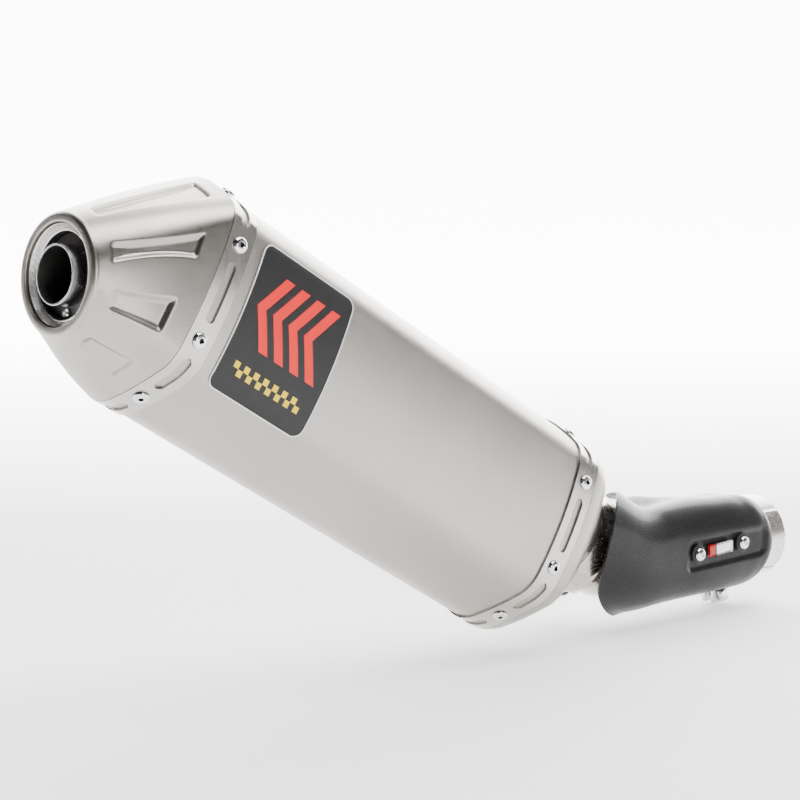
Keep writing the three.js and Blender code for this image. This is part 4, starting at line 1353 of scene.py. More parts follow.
@dataclass
class Outlet:
    """The oblique outlet: the pressed cap with its recessed pads, the rippled collar and the noise insert.

    Attributes:
        shell: The shell that the cap's skirt fits.
        tilt: Angle of the outlet's axis over the muffler's, in degrees.
        pads: The pads pressed into the cap's right half, which its left half mirrors.
        pad_depth: How deep each pad is pressed in.
        pad_wall: Width of a pad's sloping wall.
    """

    shell: Shell
    tilt: float = 23
    reach: float = 58.7 * MM
    drop: float = 26 * MM
    lip_radius: float = 35 * MM
    lip_depth: float = 3 * MM
    mouth_radius: float = 28.9 * MM
    wall: float = 1.2 * MM
    bulge: float = 1.7 * MM
    spout_radius: float = 25.6 * MM
    spout_wall: float = 1.3 * MM
    spout_depth: float = 6.2 * MM
    spout_length: float = 52 * MM
    insert_radius: float = 17 * MM
    insert_wall: float = 1.2 * MM
    insert_proud: float = 0.8 * MM
    insert_length: float = 70 * MM
    flange_depth: float = 10 * MM
    flange_thickness: float = 1.5 * MM
    screw_radius: float = 2.9 * MM
    pad_depth: float = 2.4 * MM
    pad_wall: float = 4.2 * MM
    pads: tuple["Pad", ...] = (
        Pad(rim=(13, 38.5), lip=(12.5, 43), start=8.5, end=8),
        Pad(rim=(64, 88), lip=(53.5, 61.5), start=14.5, end=7.5),
        Pad(rim=(108.3, 136.6), lip=(117.5, 144.7), start=13, end=7),
        Pad(rim=(155.5, 178), lip=(157, 192), start=11, end=6),
    )
    pad_corner: float = 3.2 * MM
    ripple: float = 0.11 * MM

    def __post_init__(self) -> None:
        """Places the outlet's axis in the muffler's axes and in the part's."""
        a = math.radians(self.tilt)
        self.axis = np.array([math.cos(a), 0, math.sin(a)])
        self.up = np.array([-math.sin(a), 0, math.cos(a)])
        self.centre = np.array([-self.reach, 0, -self.drop])
        m = self.shell.muffler
        self.world_centre = m.place(self.centre)
        self.world_axis = m.along * self.axis[0] + m.up * self.axis[2]
        self.world_up = m.along * self.up[0] + m.up * self.up[2]

    def ring(self, turns: np.ndarray, radius: float, depth: float) -> np.ndarray:
        """A circle about the outlet's axis, by the section's normal angles."""
        return circle_ring(turns, self.centre + depth * self.axis, radius, self.up)

    def pressed(self, grid: np.ndarray, columns: np.ndarray) -> np.ndarray:
        """Presses the pads into the cap's outside.

        Args:
            grid: The outside, from the rim to the lip.
            columns: The section's columns that the grid follows.

        Returns:
            The pressed grid.
        """
        along = np.gradient(grid, axis=0)
        around = np.gradient(grid[:, :-1], axis=1)
        around = np.concatenate([around, around[:, :1]], 1)
        around[:, 0] = around[:, -1] = (grid[:, 1] - grid[:, -2]) / 2
        normal = np.cross(around, along)
        normal /= np.linalg.norm(normal, axis=2, keepdims=True)
        lateral = np.concatenate(
            [np.zeros((len(grid), 1)), np.cumsum(np.linalg.norm(np.diff(grid, axis=1), axis=2), axis=1)], 1
        )
        run = np.concatenate(
            [np.zeros((1, grid.shape[1])), np.cumsum(np.linalg.norm(np.diff(grid, axis=0), axis=2), axis=0)], 0
        )
        reach = np.interp(columns[:, 2], self.shell.line[:, 2], self.shell.reach)
        depth = np.zeros(grid.shape[:2])
        top = float(np.interp(90, self.shell.line[:, 2], self.shell.reach))
        index, rows = np.arange(len(columns)), np.arange(len(grid))
        share = np.linspace(0, 1, len(grid))
        whole = lateral[:, -1]
        wrapped = lambda value, girth: (value + girth / 2) % girth - girth / 2
        for pad in self.pads:
            for side in (1, -1):
                edges = []
                for a, b in zip(pad.rim, pad.lip):
                    distance = (top + side * (a + (b - a) * share) * MM) % self.shell.girth
                    column = np.interp(distance, reach, index)
                    low = np.minimum(column.astype(int), len(columns) - 2)
                    part = column - low
                    edges.append(lateral[rows, low] * (1 - part) + lateral[rows, low + 1] * part)
                path = run[rows, low]
                across = wrapped(edges[1] - edges[0], whole)
                p = wrapped(lateral - (edges[0] + across / 2)[:, None], whole[:, None])
                start, end = pad.start * MM, path[-1] - pad.end * MM
                q = path[:, None] - (start + end) / 2
                edge = rounded_box(p, q, np.abs(across)[:, None] / 2, (end - start) / 2, self.pad_corner)
                depth = np.maximum(depth, ease(np.clip(-edge / self.pad_wall, 0, 1)))
        sign = np.sign((normal * (grid - grid.mean((0, 1)))).sum(2).mean())
        return grid - sign * normal * (depth * self.pad_depth)[..., None]

    def cap(self) -> Piece:
        """The pressed cap."""
        shell = self.shell
        columns = shell.section.columns(481, 0.62)
        turns = columns[:, 2]
        front, skirt_end = -shell.seat, shell.strap_width
        skirt = shell.sleeve_inset + shell.sheet + shell.seat
        bore = skirt + shell.sheet
        radial = np.stack([np.zeros(len(turns)), np.cos(np.radians(turns)), np.sin(np.radians(turns))], 1)
        rim, lip = section_ring(columns, front, 0), self.ring(turns, self.lip_radius, self.lip_depth)
        inner_rim = section_ring(columns, front, self.wall)
        inner_lip = self.ring(turns, self.lip_radius - self.wall, self.lip_depth + self.wall / 2)
        swell = lambda t: self.bulge * math.sin(math.pi * t) * radial
        steps = np.linspace(0, 1, 100)
        outside = np.array([rim * (1 - t) + lip * t + swell(t) for t in steps])
        outside = self.pressed(outside, columns)
        rings = [section_ring(columns, skirt_end, skirt), section_ring(columns, front, skirt)]
        rings += [section_ring(columns, front, 0.5 * MM), section_ring(columns, front - 0.12 * MM, 0.12 * MM)]
        rings += list(outside[1:])
        roll = self.lip_depth
        for a in np.radians(np.linspace(8, 90, 10)):
            rings.append(self.ring(turns, self.lip_radius - roll * (1 - math.cos(a)), roll * (1 - math.sin(a))))
        bead = 0.7 * MM
        rings.append(self.ring(turns, self.mouth_radius + bead * 2, 0.02 * MM))
        for a in np.radians(np.linspace(20, 90, 5)):
            rings.append(self.ring(turns, self.mouth_radius + bead * (1 - math.sin(a)), bead * (1 - math.cos(a))))
        rings.append(self.ring(turns, self.mouth_radius, self.lip_depth))
        for t in np.linspace(1, 0.04, 12):
            pull = 2.0 * MM * math.sin(math.pi * t) * radial
            rings.append(inner_rim * (1 - t) + inner_lip * t + swell(t) - pull)
        rings += [section_ring(columns, front - self.wall, bore), section_ring(columns, skirt_end, bore)]
        rings.append(rings[0])
        obj = Bench.rolled("outlet_cap_pressing", shell.muffler.place(np.array(rings)))
        Bench.smooth(obj, 48)
        return Bench.fit(obj, Body.MUFFLER, Slot.BLASTED, shell.finishes.blasted, "outlet_cap")

    def place(self, obj: Piece, drop: float = 0.0) -> None:
        """Stands a turned piece on the outlet's axis, or below it."""
        obj.data.transform(aim(self.world_centre - drop * self.world_up, self.world_axis))

    def collar(self) -> Piece:
        """The rippled collar, its bright edge bead and the tube behind it."""
        r, w, d = self.spout_radius, self.spout_wall, self.spout_depth
        wide = self.mouth_radius - 0.45 * MM
        inner = r - w
        turns = np.linspace(0, 2 * math.pi, 361)
        lip = self.lip_depth
        profile = [(wide, lip + 0.4 * MM), (wide, lip - 0.6 * MM), (wide - 0.3 * MM, lip - 0.9 * MM)]
        cone = [(wide - 0.5 * MM, self.lip_depth - 0.7 * MM), (r + 0.35 * MM, d - 0.1 * MM)]
        cone_steps = 16
        start = len(profile)
        for i in range(cone_steps + 1):
            t = i / cone_steps
            profile.append(tuple(np.array(cone[0]) * (1 - t) + np.array(cone[1]) * t))
        end = len(profile)
        bead = [
            (r + 0.25 * MM, d - 0.45 * MM),
            (r, d - 0.9 * MM),
            (r - 0.35 * MM, d - 1.15 * MM),
            (inner + 0.35 * MM, d - 1.15 * MM),
            (inner + 0.08 * MM, d - 0.95 * MM),
            (inner, d - 0.5 * MM),
        ]
        profile += bead + [(inner, self.flange_depth), (inner, d + self.spout_length), (r, d + self.spout_length)]
        profile += [(r, d + 1.6 * MM), (wide, self.lip_depth + 0.4 * MM)]
        rings = []
        for k, (radius, depth) in enumerate(profile):
            lift = np.zeros(len(turns))
            if start <= k < end:
                t = (k - start) / cone_steps
                fade = math.sin(math.pi * min(1, t * 1.05))
                wave = np.sin(46 * turns + 9 * t) + 0.6 * np.sin(29 * turns - 7 * t + 1.3)
                wave += 0.5 * np.sin(71 * turns + 17 * t)
                lift = self.ripple * fade * wave
            side = np.array([0.0, 1.0, 0.0])
            out = np.cos(turns)[:, None] * side + np.sin(turns)[:, None] * self.up
            rings.append(self.centre + radius * out + (depth - lift)[:, None] * self.axis)
        obj = Bench.rolled("outlet_collar", self.shell.muffler.place(np.array(rings)))
        Bench.smooth(obj, 50)
        f = self.shell.finishes
        Bench.fit(obj, Body.MUFFLER, Slot.POLISHED, f.ripple, "outlet_tube")
        obj.data.materials.append(f.bright)
        obj.data.materials.append(f.painted_shade_steel)
        # Faces deeper than the bead take the near-black steel, painted shade down the tube behind the collar.
        for face in obj.data.polygons:
            radius, depth = self.measure(face.center)
            if radius < r + 0.3 * MM and depth < d:
                face.material_index = 1
            elif depth > d:
                face.material_index = 2
        return obj

    def measure(self, point: Vector) -> Pair:
        """A point's distance from the outlet's axis, and its depth along it."""
        away = np.array(point) - self.world_centre
        depth = float(away @ self.world_axis)
        return float(np.linalg.norm(away - depth * self.world_axis)), depth

    def insert(self) -> list[Piece]:
        """The noise insert, its flange and its screw."""
        r, w = self.insert_radius, self.insert_wall
        flange = self.spout_radius - self.spout_wall - 0.3 * MM
        corners = [
            (r - w, -self.insert_proud),
            (r, -self.insert_proud),
            (r, self.flange_depth),
            (flange, self.flange_depth),
            (flange, self.flange_depth + self.flange_thickness),
            (r, self.flange_depth + self.flange_thickness),
            (r, self.insert_length),
            (r - w, self.insert_length),
        ]
        profile = Bench.rounded_profile(corners, 0.4 * MM)
        body = Turning.spin("insert_body", profile + [profile[0]], 96)
        self.place(body)
        Bench.smooth(body, 40)
        f = self.shell.finishes
        Bench.fit(body, Body.INSERT, Slot.STEEL, f.steel, "noise_insert")
        body.data.materials.append(f.painted_shade_steel)
        # Inner faces and all faces behind the flange take the near-black steel, painted shade inside the outlet.
        for face in body.data.polygons:
            radius, depth = self.measure(face.center)
            if radius < r - w * 0.9 or depth > self.flange_depth - 0.2 * MM:
                face.material_index = 1
        orbit = (r + self.spout_radius - self.spout_wall) / 2
        seat, head = self.flange_depth - 0.3 * MM, 2.2 * MM
        profile = [
            (0.0, seat - head + 1.2 * MM),
            (1.1 * MM, seat - head + 1.2 * MM),
            (1.2 * MM, seat - head),
            (self.screw_radius * 0.7, seat - head),
            (self.screw_radius, seat - head * 0.62),
            (self.screw_radius, seat),
            (2.0 * MM, seat),
            (2.0 * MM, seat + 8.6 * MM),
            (0.0, seat + 8.6 * MM),
        ]
        screw = Turning.spin("insert_screw_turned", profile, 32)
        self.place(screw, orbit)
        Bench.smooth(screw, 35)
        Bench.fit(screw, Body.INSERT, Slot.STEEL, f.bright, "insert_screw")
        return [body, screw]

    def build(self) -> list[Piece]:
        """Builds the outlet's pieces."""
        return [self.cap(), self.collar(), *self.insert()]


@dataclass
class PipeLine:
    """The link pipe's centreline, by the distance from its inlet end: straight, bend, straight."""

    straight: float = 134 * MM
    bend_radius: float = 95 * MM
    pitch: float = math.radians(29.4)
    tail: float = 26 * MM

    def at(self, distance: np.ndarray) -> tuple[np.ndarray, np.ndarray, np.ndarray]:
        """Points on the line.

        Args:
            distance: Distances from the inlet end.

        Returns:
            The points, the directions to the rear and the directions up and square to the line.
        """
        s = np.atleast_1d(distance).astype(float)
        bent = np.clip((s - self.straight) / self.bend_radius, 0, self.pitch)
        level = np.zeros_like(s)
        back = np.stack([-np.cos(bent), level, np.sin(bent)], 1)
        up = np.stack([np.sin(bent), level, np.cos(bent)], 1)
        behind = np.minimum(s, self.straight) + self.bend_radius * np.sin(bent)
        centre = np.stack([-behind, level, self.bend_radius * (1 - np.cos(bent))], 1)
        over = np.maximum(0, s - self.straight - self.bend_radius * self.pitch)
        return centre + back * over[:, None], back, up

    def tube(self, distance: np.ndarray, turns: np.ndarray, radius: np.ndarray) -> np.ndarray:
        """Points about the line.

        Args:
            distance: One for each ring.
            turns: Angles in degrees from the outer side upwards.
            radius: One for each ring, or one for each point.

        Returns:
            A grid of points.
        """
        centre, _, up = self.at(distance)
        a = np.radians(turns)
        out = -np.cos(a)[None, :, None] * np.array([0.0, 1.0, 0.0]) + np.sin(a)[None, :, None] * up[:, None, :]
        size = np.broadcast_to(np.asarray(radius, float), (len(centre), len(turns)))
        return centre[:, None, :] + size[..., None] * out

    def beside(self, distance: float, away: float, turn: float) -> np.ndarray:
        """One point beside the line."""
        return self.tube(np.array([distance]), np.array([turn]), np.array([[away]]))[0, 0]


@dataclass
class Joint:
    """The slip joint: the inlet cap's dome and neck, the gasket, and two springs in rubber sleeves.

    Attributes:
        shell: The muffler's shell.
        line: The pipe's centreline.
        pipe_radius: The pipe's outer radius.
        neck_radius, neck_wall: The neck's outer radius and its wall.
        neck_from, neck_to: Its ends along the muffler.
        neck_rise: Height of the neck's axis over the muffler's.
        spring_radius, wire, coils: A spring's outer radius, its wire's radius and its turns.
        sleeve_radius, sleeve_wall: A rubber sleeve's outer radius and wall.
        orbit, turn: Where the springs lie, as a radius and an angle round the line.
        neck_tab, pipe_tab: Where the tabs stand, along the line.
        tab_half: Half a tab's thickness.
        tab_gap: What is left between a tab and its spring.
        spring_foot: How far a spring's end reaches past its start.
    """

    shell: Shell
    line: PipeLine
    pipe_radius: float = 28.5 * MM
    neck_radius: float = 33.8 * MM
    neck_wall: float = 1.5 * MM
    neck_from: float = 370 * MM
    neck_to: float = 402 * MM
    neck_rise: float = 10 * MM
    spring_radius: float = 4.6 * MM
    wire: float = 0.8 * MM
    coils: int = 15
    sleeve_radius: float = 6.4 * MM
    sleeve_wall: float = 1.5 * MM
    orbit: float = 42 * MM
    turn: float = 140
    neck_tab: float = 203 * MM
    pipe_tab: float = 148 * MM
    tab_half: float = 1.5 * MM
    tab_gap: float = 2 * MM
    spring_foot: float = 0.6 * MM

    def dome(self) -> Piece:
        """The inlet cap, domed to the neck."""
        shell = self.shell
        columns = shell.section.columns(361, 0.6)
        turns = columns[:, 2]
        length = shell.muffler.length
        skirt_end, back = length - shell.strap_width, length + shell.seat
        skirt = shell.sleeve_inset + shell.sheet + shell.seat
        bore = skirt + shell.sheet
        wall = 1.2 * MM
        mouth = self.neck_radius + 0.45 * MM
        circle = lambda x, r: circle_ring(turns, (x, 0, self.neck_rise), r, (0, 0, 1))
        at = np.linspace(0, 1, 40)
        reach = (self.neck_from + 3 * MM - back) / MM
        stages = np.array([[0, 0], [0.04, 0.19 * reach], [0.22, 0.45 * reach], [0.62, 0.72 * reach], [1, reach]])
        share_x = smooth_through([0, 0.1, 0.35, 0.7, 1], stages, at)
        rim, inner_rim = section_ring(columns, back, 0), section_ring(columns, back, wall)
        target = circle(0, mouth + 2.4 * MM)
        rings = [section_ring(columns, skirt_end, skirt), section_ring(columns, back, skirt)]
        rings += [section_ring(columns, back, 0.5 * MM), section_ring(columns, back + 0.12 * MM, 0.12 * MM)]
        for share, x in share_x[1:]:
            ring = rim * (1 - share) + target * share
            ring[:, 0] = back + x * MM
            rings.append(ring)
        lip = self.neck_from + 7 * MM
        for a in np.radians(np.linspace(15, 90, 5)):
            rings.append(circle(lip - 1.2 * MM + 1.2 * MM * math.sin(a), mouth + 1.2 * MM + 1.2 * MM * math.cos(a)))
        rings += [circle(lip, mouth + 0.3 * MM), circle(lip - 0.3 * MM, mouth), circle(self.neck_from + 2 * MM, mouth)]
        for share, x in ((0.62, 0.66 * reach), (0.22, 0.39 * reach), (0.04, 0.15 * reach)):
            ring = inner_rim * (1 - share) + target * share
            ring[:, 0] = back + x * MM
            rings.append(ring)
        rings += [section_ring(columns, back + wall, bore), section_ring(columns, skirt_end, bore)]
        rings.append(rings[0])
        obj = Bench.rolled("inlet_cap_dome", shell.muffler.place(np.array(rings)))
        Bench.smooth(obj, 48)
        return Bench.fit(obj, Body.MUFFLER, Slot.BLASTED, shell.finishes.blasted, "inlet_cap")

    def turned(self, name: str, corners: Sequence[Pair], radius: float) -> Piece:
        """A ring turned about the neck's axis, with its corners rounded."""
        profile = Bench.rounded_profile(corners, radius)
        obj = Turning.spin(name, profile + [profile[0]], 96)
        m = self.shell.muffler
        obj.data.transform(aim(m.place(np.array([0, 0, self.neck_rise])), m.along))
        Bench.smooth(obj, 40)
        return obj

    def neck(self) -> Piece:
        """The socket on the muffler, with a rolled bead at its open end."""
        r, w, a, b = self.neck_radius, self.neck_wall, self.neck_from, self.neck_to
        corners = [
            (r - w, a),
            (r, a),
            (r, b - 6.5 * MM),
            (r + 0.9 * MM, b - 5.0 * MM),
            (r + 0.9 * MM, b - 3.6 * MM),
            (r, b - 2.2 * MM),
            (r, b),
            (r - w, b),
        ]
        obj = self.turned("neck_socket", corners, 0.5 * MM)
        return Bench.fit(obj, Body.MUFFLER, Slot.POLISHED, self.shell.finishes.pipe, "inlet_neck")

    def gasket(self) -> Piece:
        """The graphite ring in the socket."""
        inner, outer = self.pipe_radius + 0.3 * MM, self.neck_radius - self.neck_wall - 0.3 * MM
        a, b = self.neck_to - 18 * MM, self.neck_to - 2 * MM
        obj = self.turned("graphite_ring", [(inner, a), (outer, a), (outer, b), (inner, b)], 0.5 * MM)
        return Bench.fit(obj, Body.PIPE, Slot.GRAPHITE, self.shell.finishes.graphite, "joint_gasket")

    def tab(self, name: str, distance: float, turn: float, foot: float, body: Body, node: str) -> Piece:
        """A welded spring tab with a rounded end and its hole.

        Args:
            name: The new object's name.
            distance: Where it stands, along the line.
            turn: Where it stands, round the line.
            foot: The radius of its foot.
            body: What it is welded to.
            node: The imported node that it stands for.

        Returns:
            The tab.
        """
        top = self.orbit + self.spring_radius * 0.6
        width = 5 * MM
        obj = Bench.box(name, (width, top - foot, 2 * self.tab_half), (0, (top + foot) / 2, 0))
        outer = lambda a, b: abs(a.z - b.z) > MM and min(a.y, b.y) > foot + MM
        Bench.round_edges(obj, outer, width * 0.42, 6, fresh=False)
        Bench.cut_away(obj, Bench.rod(1.15 * MM, 8 * MM, (0, top - 2.3 * MM, 0), 24))
        Bench.ease_edges(obj, 0.25 * MM, 2)
        centre, back, up = (v[0] for v in self.line.at(np.array([distance])))
        a = math.radians(turn)
        out = -math.cos(a) * np.array([0.0, 1.0, 0.0]) + math.sin(a) * up
        basis = np.eye(4)
        basis[:3, 0], basis[:3, 1], basis[:3, 2], basis[:3, 3] = np.cross(out, back), out, back, centre
        obj.data.transform(Matrix(basis.tolist()))
        Bench.smooth(obj, 40)
        return Bench.fit(obj, body, Slot.STEEL, self.shell.finishes.steel, node)

    def spring(self, level: str, turn: float) -> list[Piece]:
        """One spring with hooked ends, and its rubber sleeve.

        Args:
            level: upper or lower.
            turn: Where it lies, round the line.

        Returns:
            The spring and its sleeve.
        """
        half = self.tab_half + self.tab_gap
        start = self.line.beside(self.neck_tab - half, self.orbit, turn)
        end = self.line.beside(self.pipe_tab + half, self.orbit, turn)
        run = end - start
        length = float(np.linalg.norm(run))
        radius = self.spring_radius - self.wire
        lead = 4.5 * MM
        rest = self.spring_foot
        t = np.linspace(0, 1, 26)
        body = length - 2 * lead
        phase = np.linspace(0, self.coils * 2 * math.pi, self.coils * 18)
        path = [(0.0, -radius * k, -rest + (lead + rest) * k) for k in t[:-1]]
        path += [(radius * math.sin(p), -radius * math.cos(p), lead + body * p / phase[-1]) for p in phase]
        path += [(0.0, -radius * (1 - k), length - lead + (lead + rest) * k) for k in t[1:]]
        points = np.array(path)
        tangent = np.gradient(points, axis=0)
        tangent /= np.linalg.norm(tangent, axis=1, keepdims=True)
        side = np.cross(tangent, np.array([0.0, 0.0, 1.0]) + 1e-3)
        side /= np.linalg.norm(side, axis=1, keepdims=True)
        lift = np.cross(side, tangent)
        a = np.linspace(0, 2 * math.pi, 9)
        cos, sin = np.cos(a)[None, :, None], np.sin(a)[None, :, None]
        rings = points[:, None] + self.wire * (cos * side[:, None] + sin * lift[:, None])
        caps = [np.repeat(points[:1], 9, 0)[None], rings, np.repeat(points[-1:], 9, 0)[None]]
        wire = Bench.rolled(f"spring_wire_{level}", np.concatenate(caps))
        wire.data.transform(aim(start, run))
        Bench.smooth(wire, 60)
        f = self.shell.finishes
        inset = 6 * MM
        r, w = self.sleeve_radius, self.sleeve_wall
        corners = [(r - w, inset), (r, inset), (r, length - inset), (r - w, length - inset)]
        profile = Bench.rounded_profile(corners, 0.6 * MM)
        cover = Turning.spin(f"rubber_sleeve_{level}", profile + [profile[0]], 40)
        Bench.bisect(cover, 0.0, length, 12, (0, 0, 1))
        cover.data.transform(aim(start, run))
        Bench.smooth(cover, 40)
        for obj, slot, look, node in (
            (wire, Slot.BRIGHT, f.bright, f"joint_spring_{level}"),
            (cover, Slot.RUBBER, f.rubber, f"spring_sleeve_{level}"),
        ):
            obj.data.materials.clear()
            obj.data.materials.append(look)
            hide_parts(node)
            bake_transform(obj)
        return [wire, cover]

    def build(self) -> list[Piece]:
        """Builds the joint's pieces."""
        made = [self.dome(), self.neck(), self.gasket()]
        for level, turn in (("upper", self.turn), ("lower", -self.turn)):
            foot = {Body.MUFFLER: self.neck_radius, Body.PIPE: self.pipe_radius}
            for body, word, station in ((Body.MUFFLER, "muffler", self.neck_tab), (Body.PIPE, "pipe", self.pipe_tab)):
                node = f"spring_hook_{word}_{level}"
                made.append(self.tab(f"tab_{word}_{level}", station, turn, foot[body] + 0.3 * MM, body, node))
            made += self.spring(level, turn)
        return made


# ---------------------------------------------------------------- link pipe, clamp and shield


@dataclass
class LinkPipe:
    """The bent link pipe with its slotted inlet end, and the clamp that draws it in."""

    line: PipeLine
    finishes: Finishes
    radius: float = 28.5 * MM
    wall: float = 1.2 * MM
    slot_length: float = 26 * MM
    slot_width: float = 2.6 * MM

    def pipe(self) -> Piece:
        """The pipe."""
        bend = self.line.bend_radius * self.line.pitch
        full = self.line.straight + bend + self.line.tail
        edge = 0.35 * MM
        straight = np.linspace(30 * MM, self.line.straight, 4)
        outer = np.r_[edge, straight, self.line.straight + bend * np.arange(1, 21) / 20, full - edge]
        stations = np.r_[outer, full, full, outer[::-1], 0, 0, outer[0]]
        inner = self.radius - self.wall
        radii = np.r_[
            np.full(len(outer), self.radius), self.radius - edge, inner + edge, np.full(len(outer), inner),
            inner + edge, self.radius - edge, self.radius,
        ]
        turns = np.linspace(0, 360, 97)
        obj = Bench.rolled("pipe_tube", self.line.tube(stations, turns, radii[:, None]))
        size = (self.slot_length * 2, self.radius * 3, self.slot_width)
        Bench.cut_away(obj, *(Bench.box("slot_cutter", size, turn=math.radians(degrees)) for degrees in (45, 135)))
        Bench.smooth(obj, 35)
        return Bench.fit(obj, Body.PIPE, Slot.SATIN, self.finishes.pipe, "link_pipe")

    def clamp(self) -> list[Piece]:
        """The clamp's band, bolt and nut."""
        made = []
        for node, name, bevel, look in (
            ("clamp_band", "clamp_strip", 0.45 * MM, self.finishes.steel),
            ("clamp_bolt", "clamp_screw", 0.3 * MM, self.finishes.bright),
            ("clamp_nut", "clamp_hexagon", 0.45 * MM, self.finishes.bright),
        ):
            obj = Bench.copy_of(node, name, bevel)
            slot = Slot.BRIGHT if look is self.finishes.bright else Slot.STEEL
            made.append(Bench.fit(obj, Body.PIPE, slot, look, node))
        return made

    def build(self) -> list[Piece]:
        """Builds the pipe and its clamp."""
        return [self.pipe(), *self.clamp()]


@dataclass
class Shield:
    """The moulded carbon heat shield: a wall round the pipe's outer side with a saddle and a bolted recess.

    Attributes:
        line: The pipe's centreline.
        finishes: The materials.
        angles: Where sizes are given, from under the pipe over its outer side to past its top.
        front, rear: The shield's two ends at each angle, in millimetres along the centreline.
        stations: Its rise over the pipe at shares of the way between them, in millimetres.
        girth_radius: The radius at which its weave is laid out.
        wall: Its thickness.
        pipe_radius: The pipe's outer radius.
        recess: How deep the bolted panel is pressed in.
        recess_ends: The panel's front and rear end, as distances behind the pipe's inlet end.
        recess_low, recess_high: The height of its lower and upper edge at those ends.
        recess_corner: Radius of its corners.
        recess_wall: Width of its sloping wall.
        bolts: Each bolt's place, distance behind the inlet end and height.
        bolt_hole: Radius of the bolts' holes.
        badge_size: The badge's length, height and thickness.
    """

    line: PipeLine
    finishes: Finishes
    wall: float = 1.6 * MM
    pipe_radius: float = 28.5 * MM
    angles: tuple[float, ...] = (-76, -42, 0, 50, 78, 104)
    front: tuple[float, ...] = (40, 28, 21, 27, 36, 42)
    rear: tuple[float, ...] = (152, 186, 204, 197, 174, 153)
    stations: tuple[tuple[float, tuple[float, ...]], ...] = (
        (0, (3.8, 4.0, 5.0, 5.0, 4.4, 4.2)),
        (0.024, (4.2, 7.0, 8.0, 9.5, 5.2, 4.6)),
        (0.07, (4.5, 8.3, 9.3, 13.0, 6.0, 4.8)),
        (0.16, (4.9, 8.7, 9.5, 14.6, 6.2, 4.8)),
        (0.28, (5.5, 8.9, 9.5, 15.2, 6.8, 5.0)),
        (0.4, (5.9, 9.1, 9.5, 15.4, 8.2, 6.2)),
        (0.52, (6.3, 9.3, 9.5, 15.2, 7.4, 8.0)),
        (0.63, (6.7, 9.9, 10.6, 14.9, 5.8, 9.8)),
        (0.74, (7.5, 10.9, 12.2, 15.1, 6.8, 10.8)),
        (0.86, (8.9, 12.1, 13.5, 16.1, 9.6, 11.4)),
        (0.95, (10.3, 13.5, 14.5, 16.5, 12.2, 12.2)),
        (1, (12.3, 14.5, 15.1, 16.5, 14.2, 13.4)),
    )
    girth_radius: float = 38 * MM
    recess: float = 2.2 * MM
    recess_ends: Pair = (31 * MM, 116 * MM)
    recess_low: Pair = (-8 * MM, -12 * MM)
    recess_high: Pair = (15 * MM, 13 * MM)
    recess_corner: float = 7 * MM
    recess_wall: float = 4.5 * MM
    bolts: tuple[tuple[str, float, float], ...] = (("rear", 106 * MM, 2 * MM), ("front", 60 * MM, 5 * MM))
    bolt_hole: float = 2.8 * MM
    badge_size: tuple[float, float, float] = (24 * MM, 8 * MM, 0.4 * MM)

    def skin(self) -> Piece:
        """The moulded skin."""
        shares = [share for share, _ in self.stations]
        rises = np.array([r for _, r in self.stations]) * MM
        t = np.linspace(0, 1, 170)
        turns = np.linspace(self.angles[0], self.angles[-1], 141)
        front, rear = (smooth_through(self.angles, np.array(v) * MM, turns) for v in (self.front, self.rear))
        s = front + t[:, None] * (rear - front)
        radius = self.pipe_radius + smooth_through(self.angles, smooth_through(shares, rises, t).T, turns).T
        height = self.over(s, turns, radius)[..., 2]
        level = (s - self.recess_ends[0]) / (self.recess_ends[1] - self.recess_ends[0])
        low = self.recess_low[0] + (self.recess_low[1] - self.recess_low[0]) * level
        high = self.recess_high[0] + (self.recess_high[1] - self.recess_high[0]) * level
        half = (self.recess_ends[1] - self.recess_ends[0]) / 2
        across, up = s - sum(self.recess_ends) / 2, height - (low + high) / 2
        out = rounded_box(across, up, half, (high - low) / 2, self.recess_corner)
        side = np.clip((60 - np.abs(turns)) / 10, 0, 1)[None, :]
        radius = radius - self.recess * ease(np.clip(-out / self.recess_wall, 0, 1)) * side
        obj, row, column = Bench.draped("shield_skin", self.over(s, turns, radius))
        mesh = obj.data
        u = s[row, column]
        v = np.radians(turns)[column] * self.girth_radius
        index = np.zeros(len(mesh.loops), int)
        mesh.loops.foreach_get("vertex_index", index)
        Bench.uv_layer(obj).data.foreach_set("uv", np.stack([u[index], v[index]], 1).astype(np.float32).ravel())
        self.face_out(obj)
        Bench.modify(obj, "SOLIDIFY", thickness=self.wall, offset=-1, use_even_offset=True)
        for _, behind, rise in self.bolts:
            Bench.cut_away(obj, Bench.rod(self.bolt_hole, 20 * MM, (-behind, -36 * MM, rise), 32, math.pi / 2))
        Bench.ease_edges(obj, 0.45 * MM, 3, 60)
        Bench.smooth(obj, 50)
        return Bench.fit(obj, Body.PIPE, Slot.CARBON, self.finishes.carbon, "heat_shield")

    def over(self, distance: np.ndarray, turns: np.ndarray, radius: np.ndarray) -> np.ndarray:
        """Points about the pipe's centreline, each with its own distance along it.

        Args:
            distance: A grid of distances from the pipe's inlet end.
            turns: The angle of each column, in degrees.
            radius: A grid of distances from the centreline.

        Returns:
            The grid of points.
        """
        centre, _, up = (v.reshape(distance.shape + (3,)) for v in self.line.at(distance.ravel()))
        a = np.radians(turns)[None, :, None]
        return centre + radius[..., None] * (np.sin(a) * up - np.cos(a) * np.array([0.0, 1.0, 0.0]))

    def face_out(self, obj: Piece) -> None:
        """Turns an open skin's faces away from the pipe."""
        mesh = obj.data
        face = mesh.polygons[len(mesh.polygons) // 2]
        centre = Vector((face.center.x, 0, 0))
        if face.normal.dot(face.center - centre) < 0:
            Bench.take(obj)
            bpy.ops.object.mode_set(mode="EDIT")
            bpy.ops.mesh.select_all(action="SELECT")
            bpy.ops.mesh.flip_normals()
            bpy.ops.object.mode_set(mode="OBJECT")

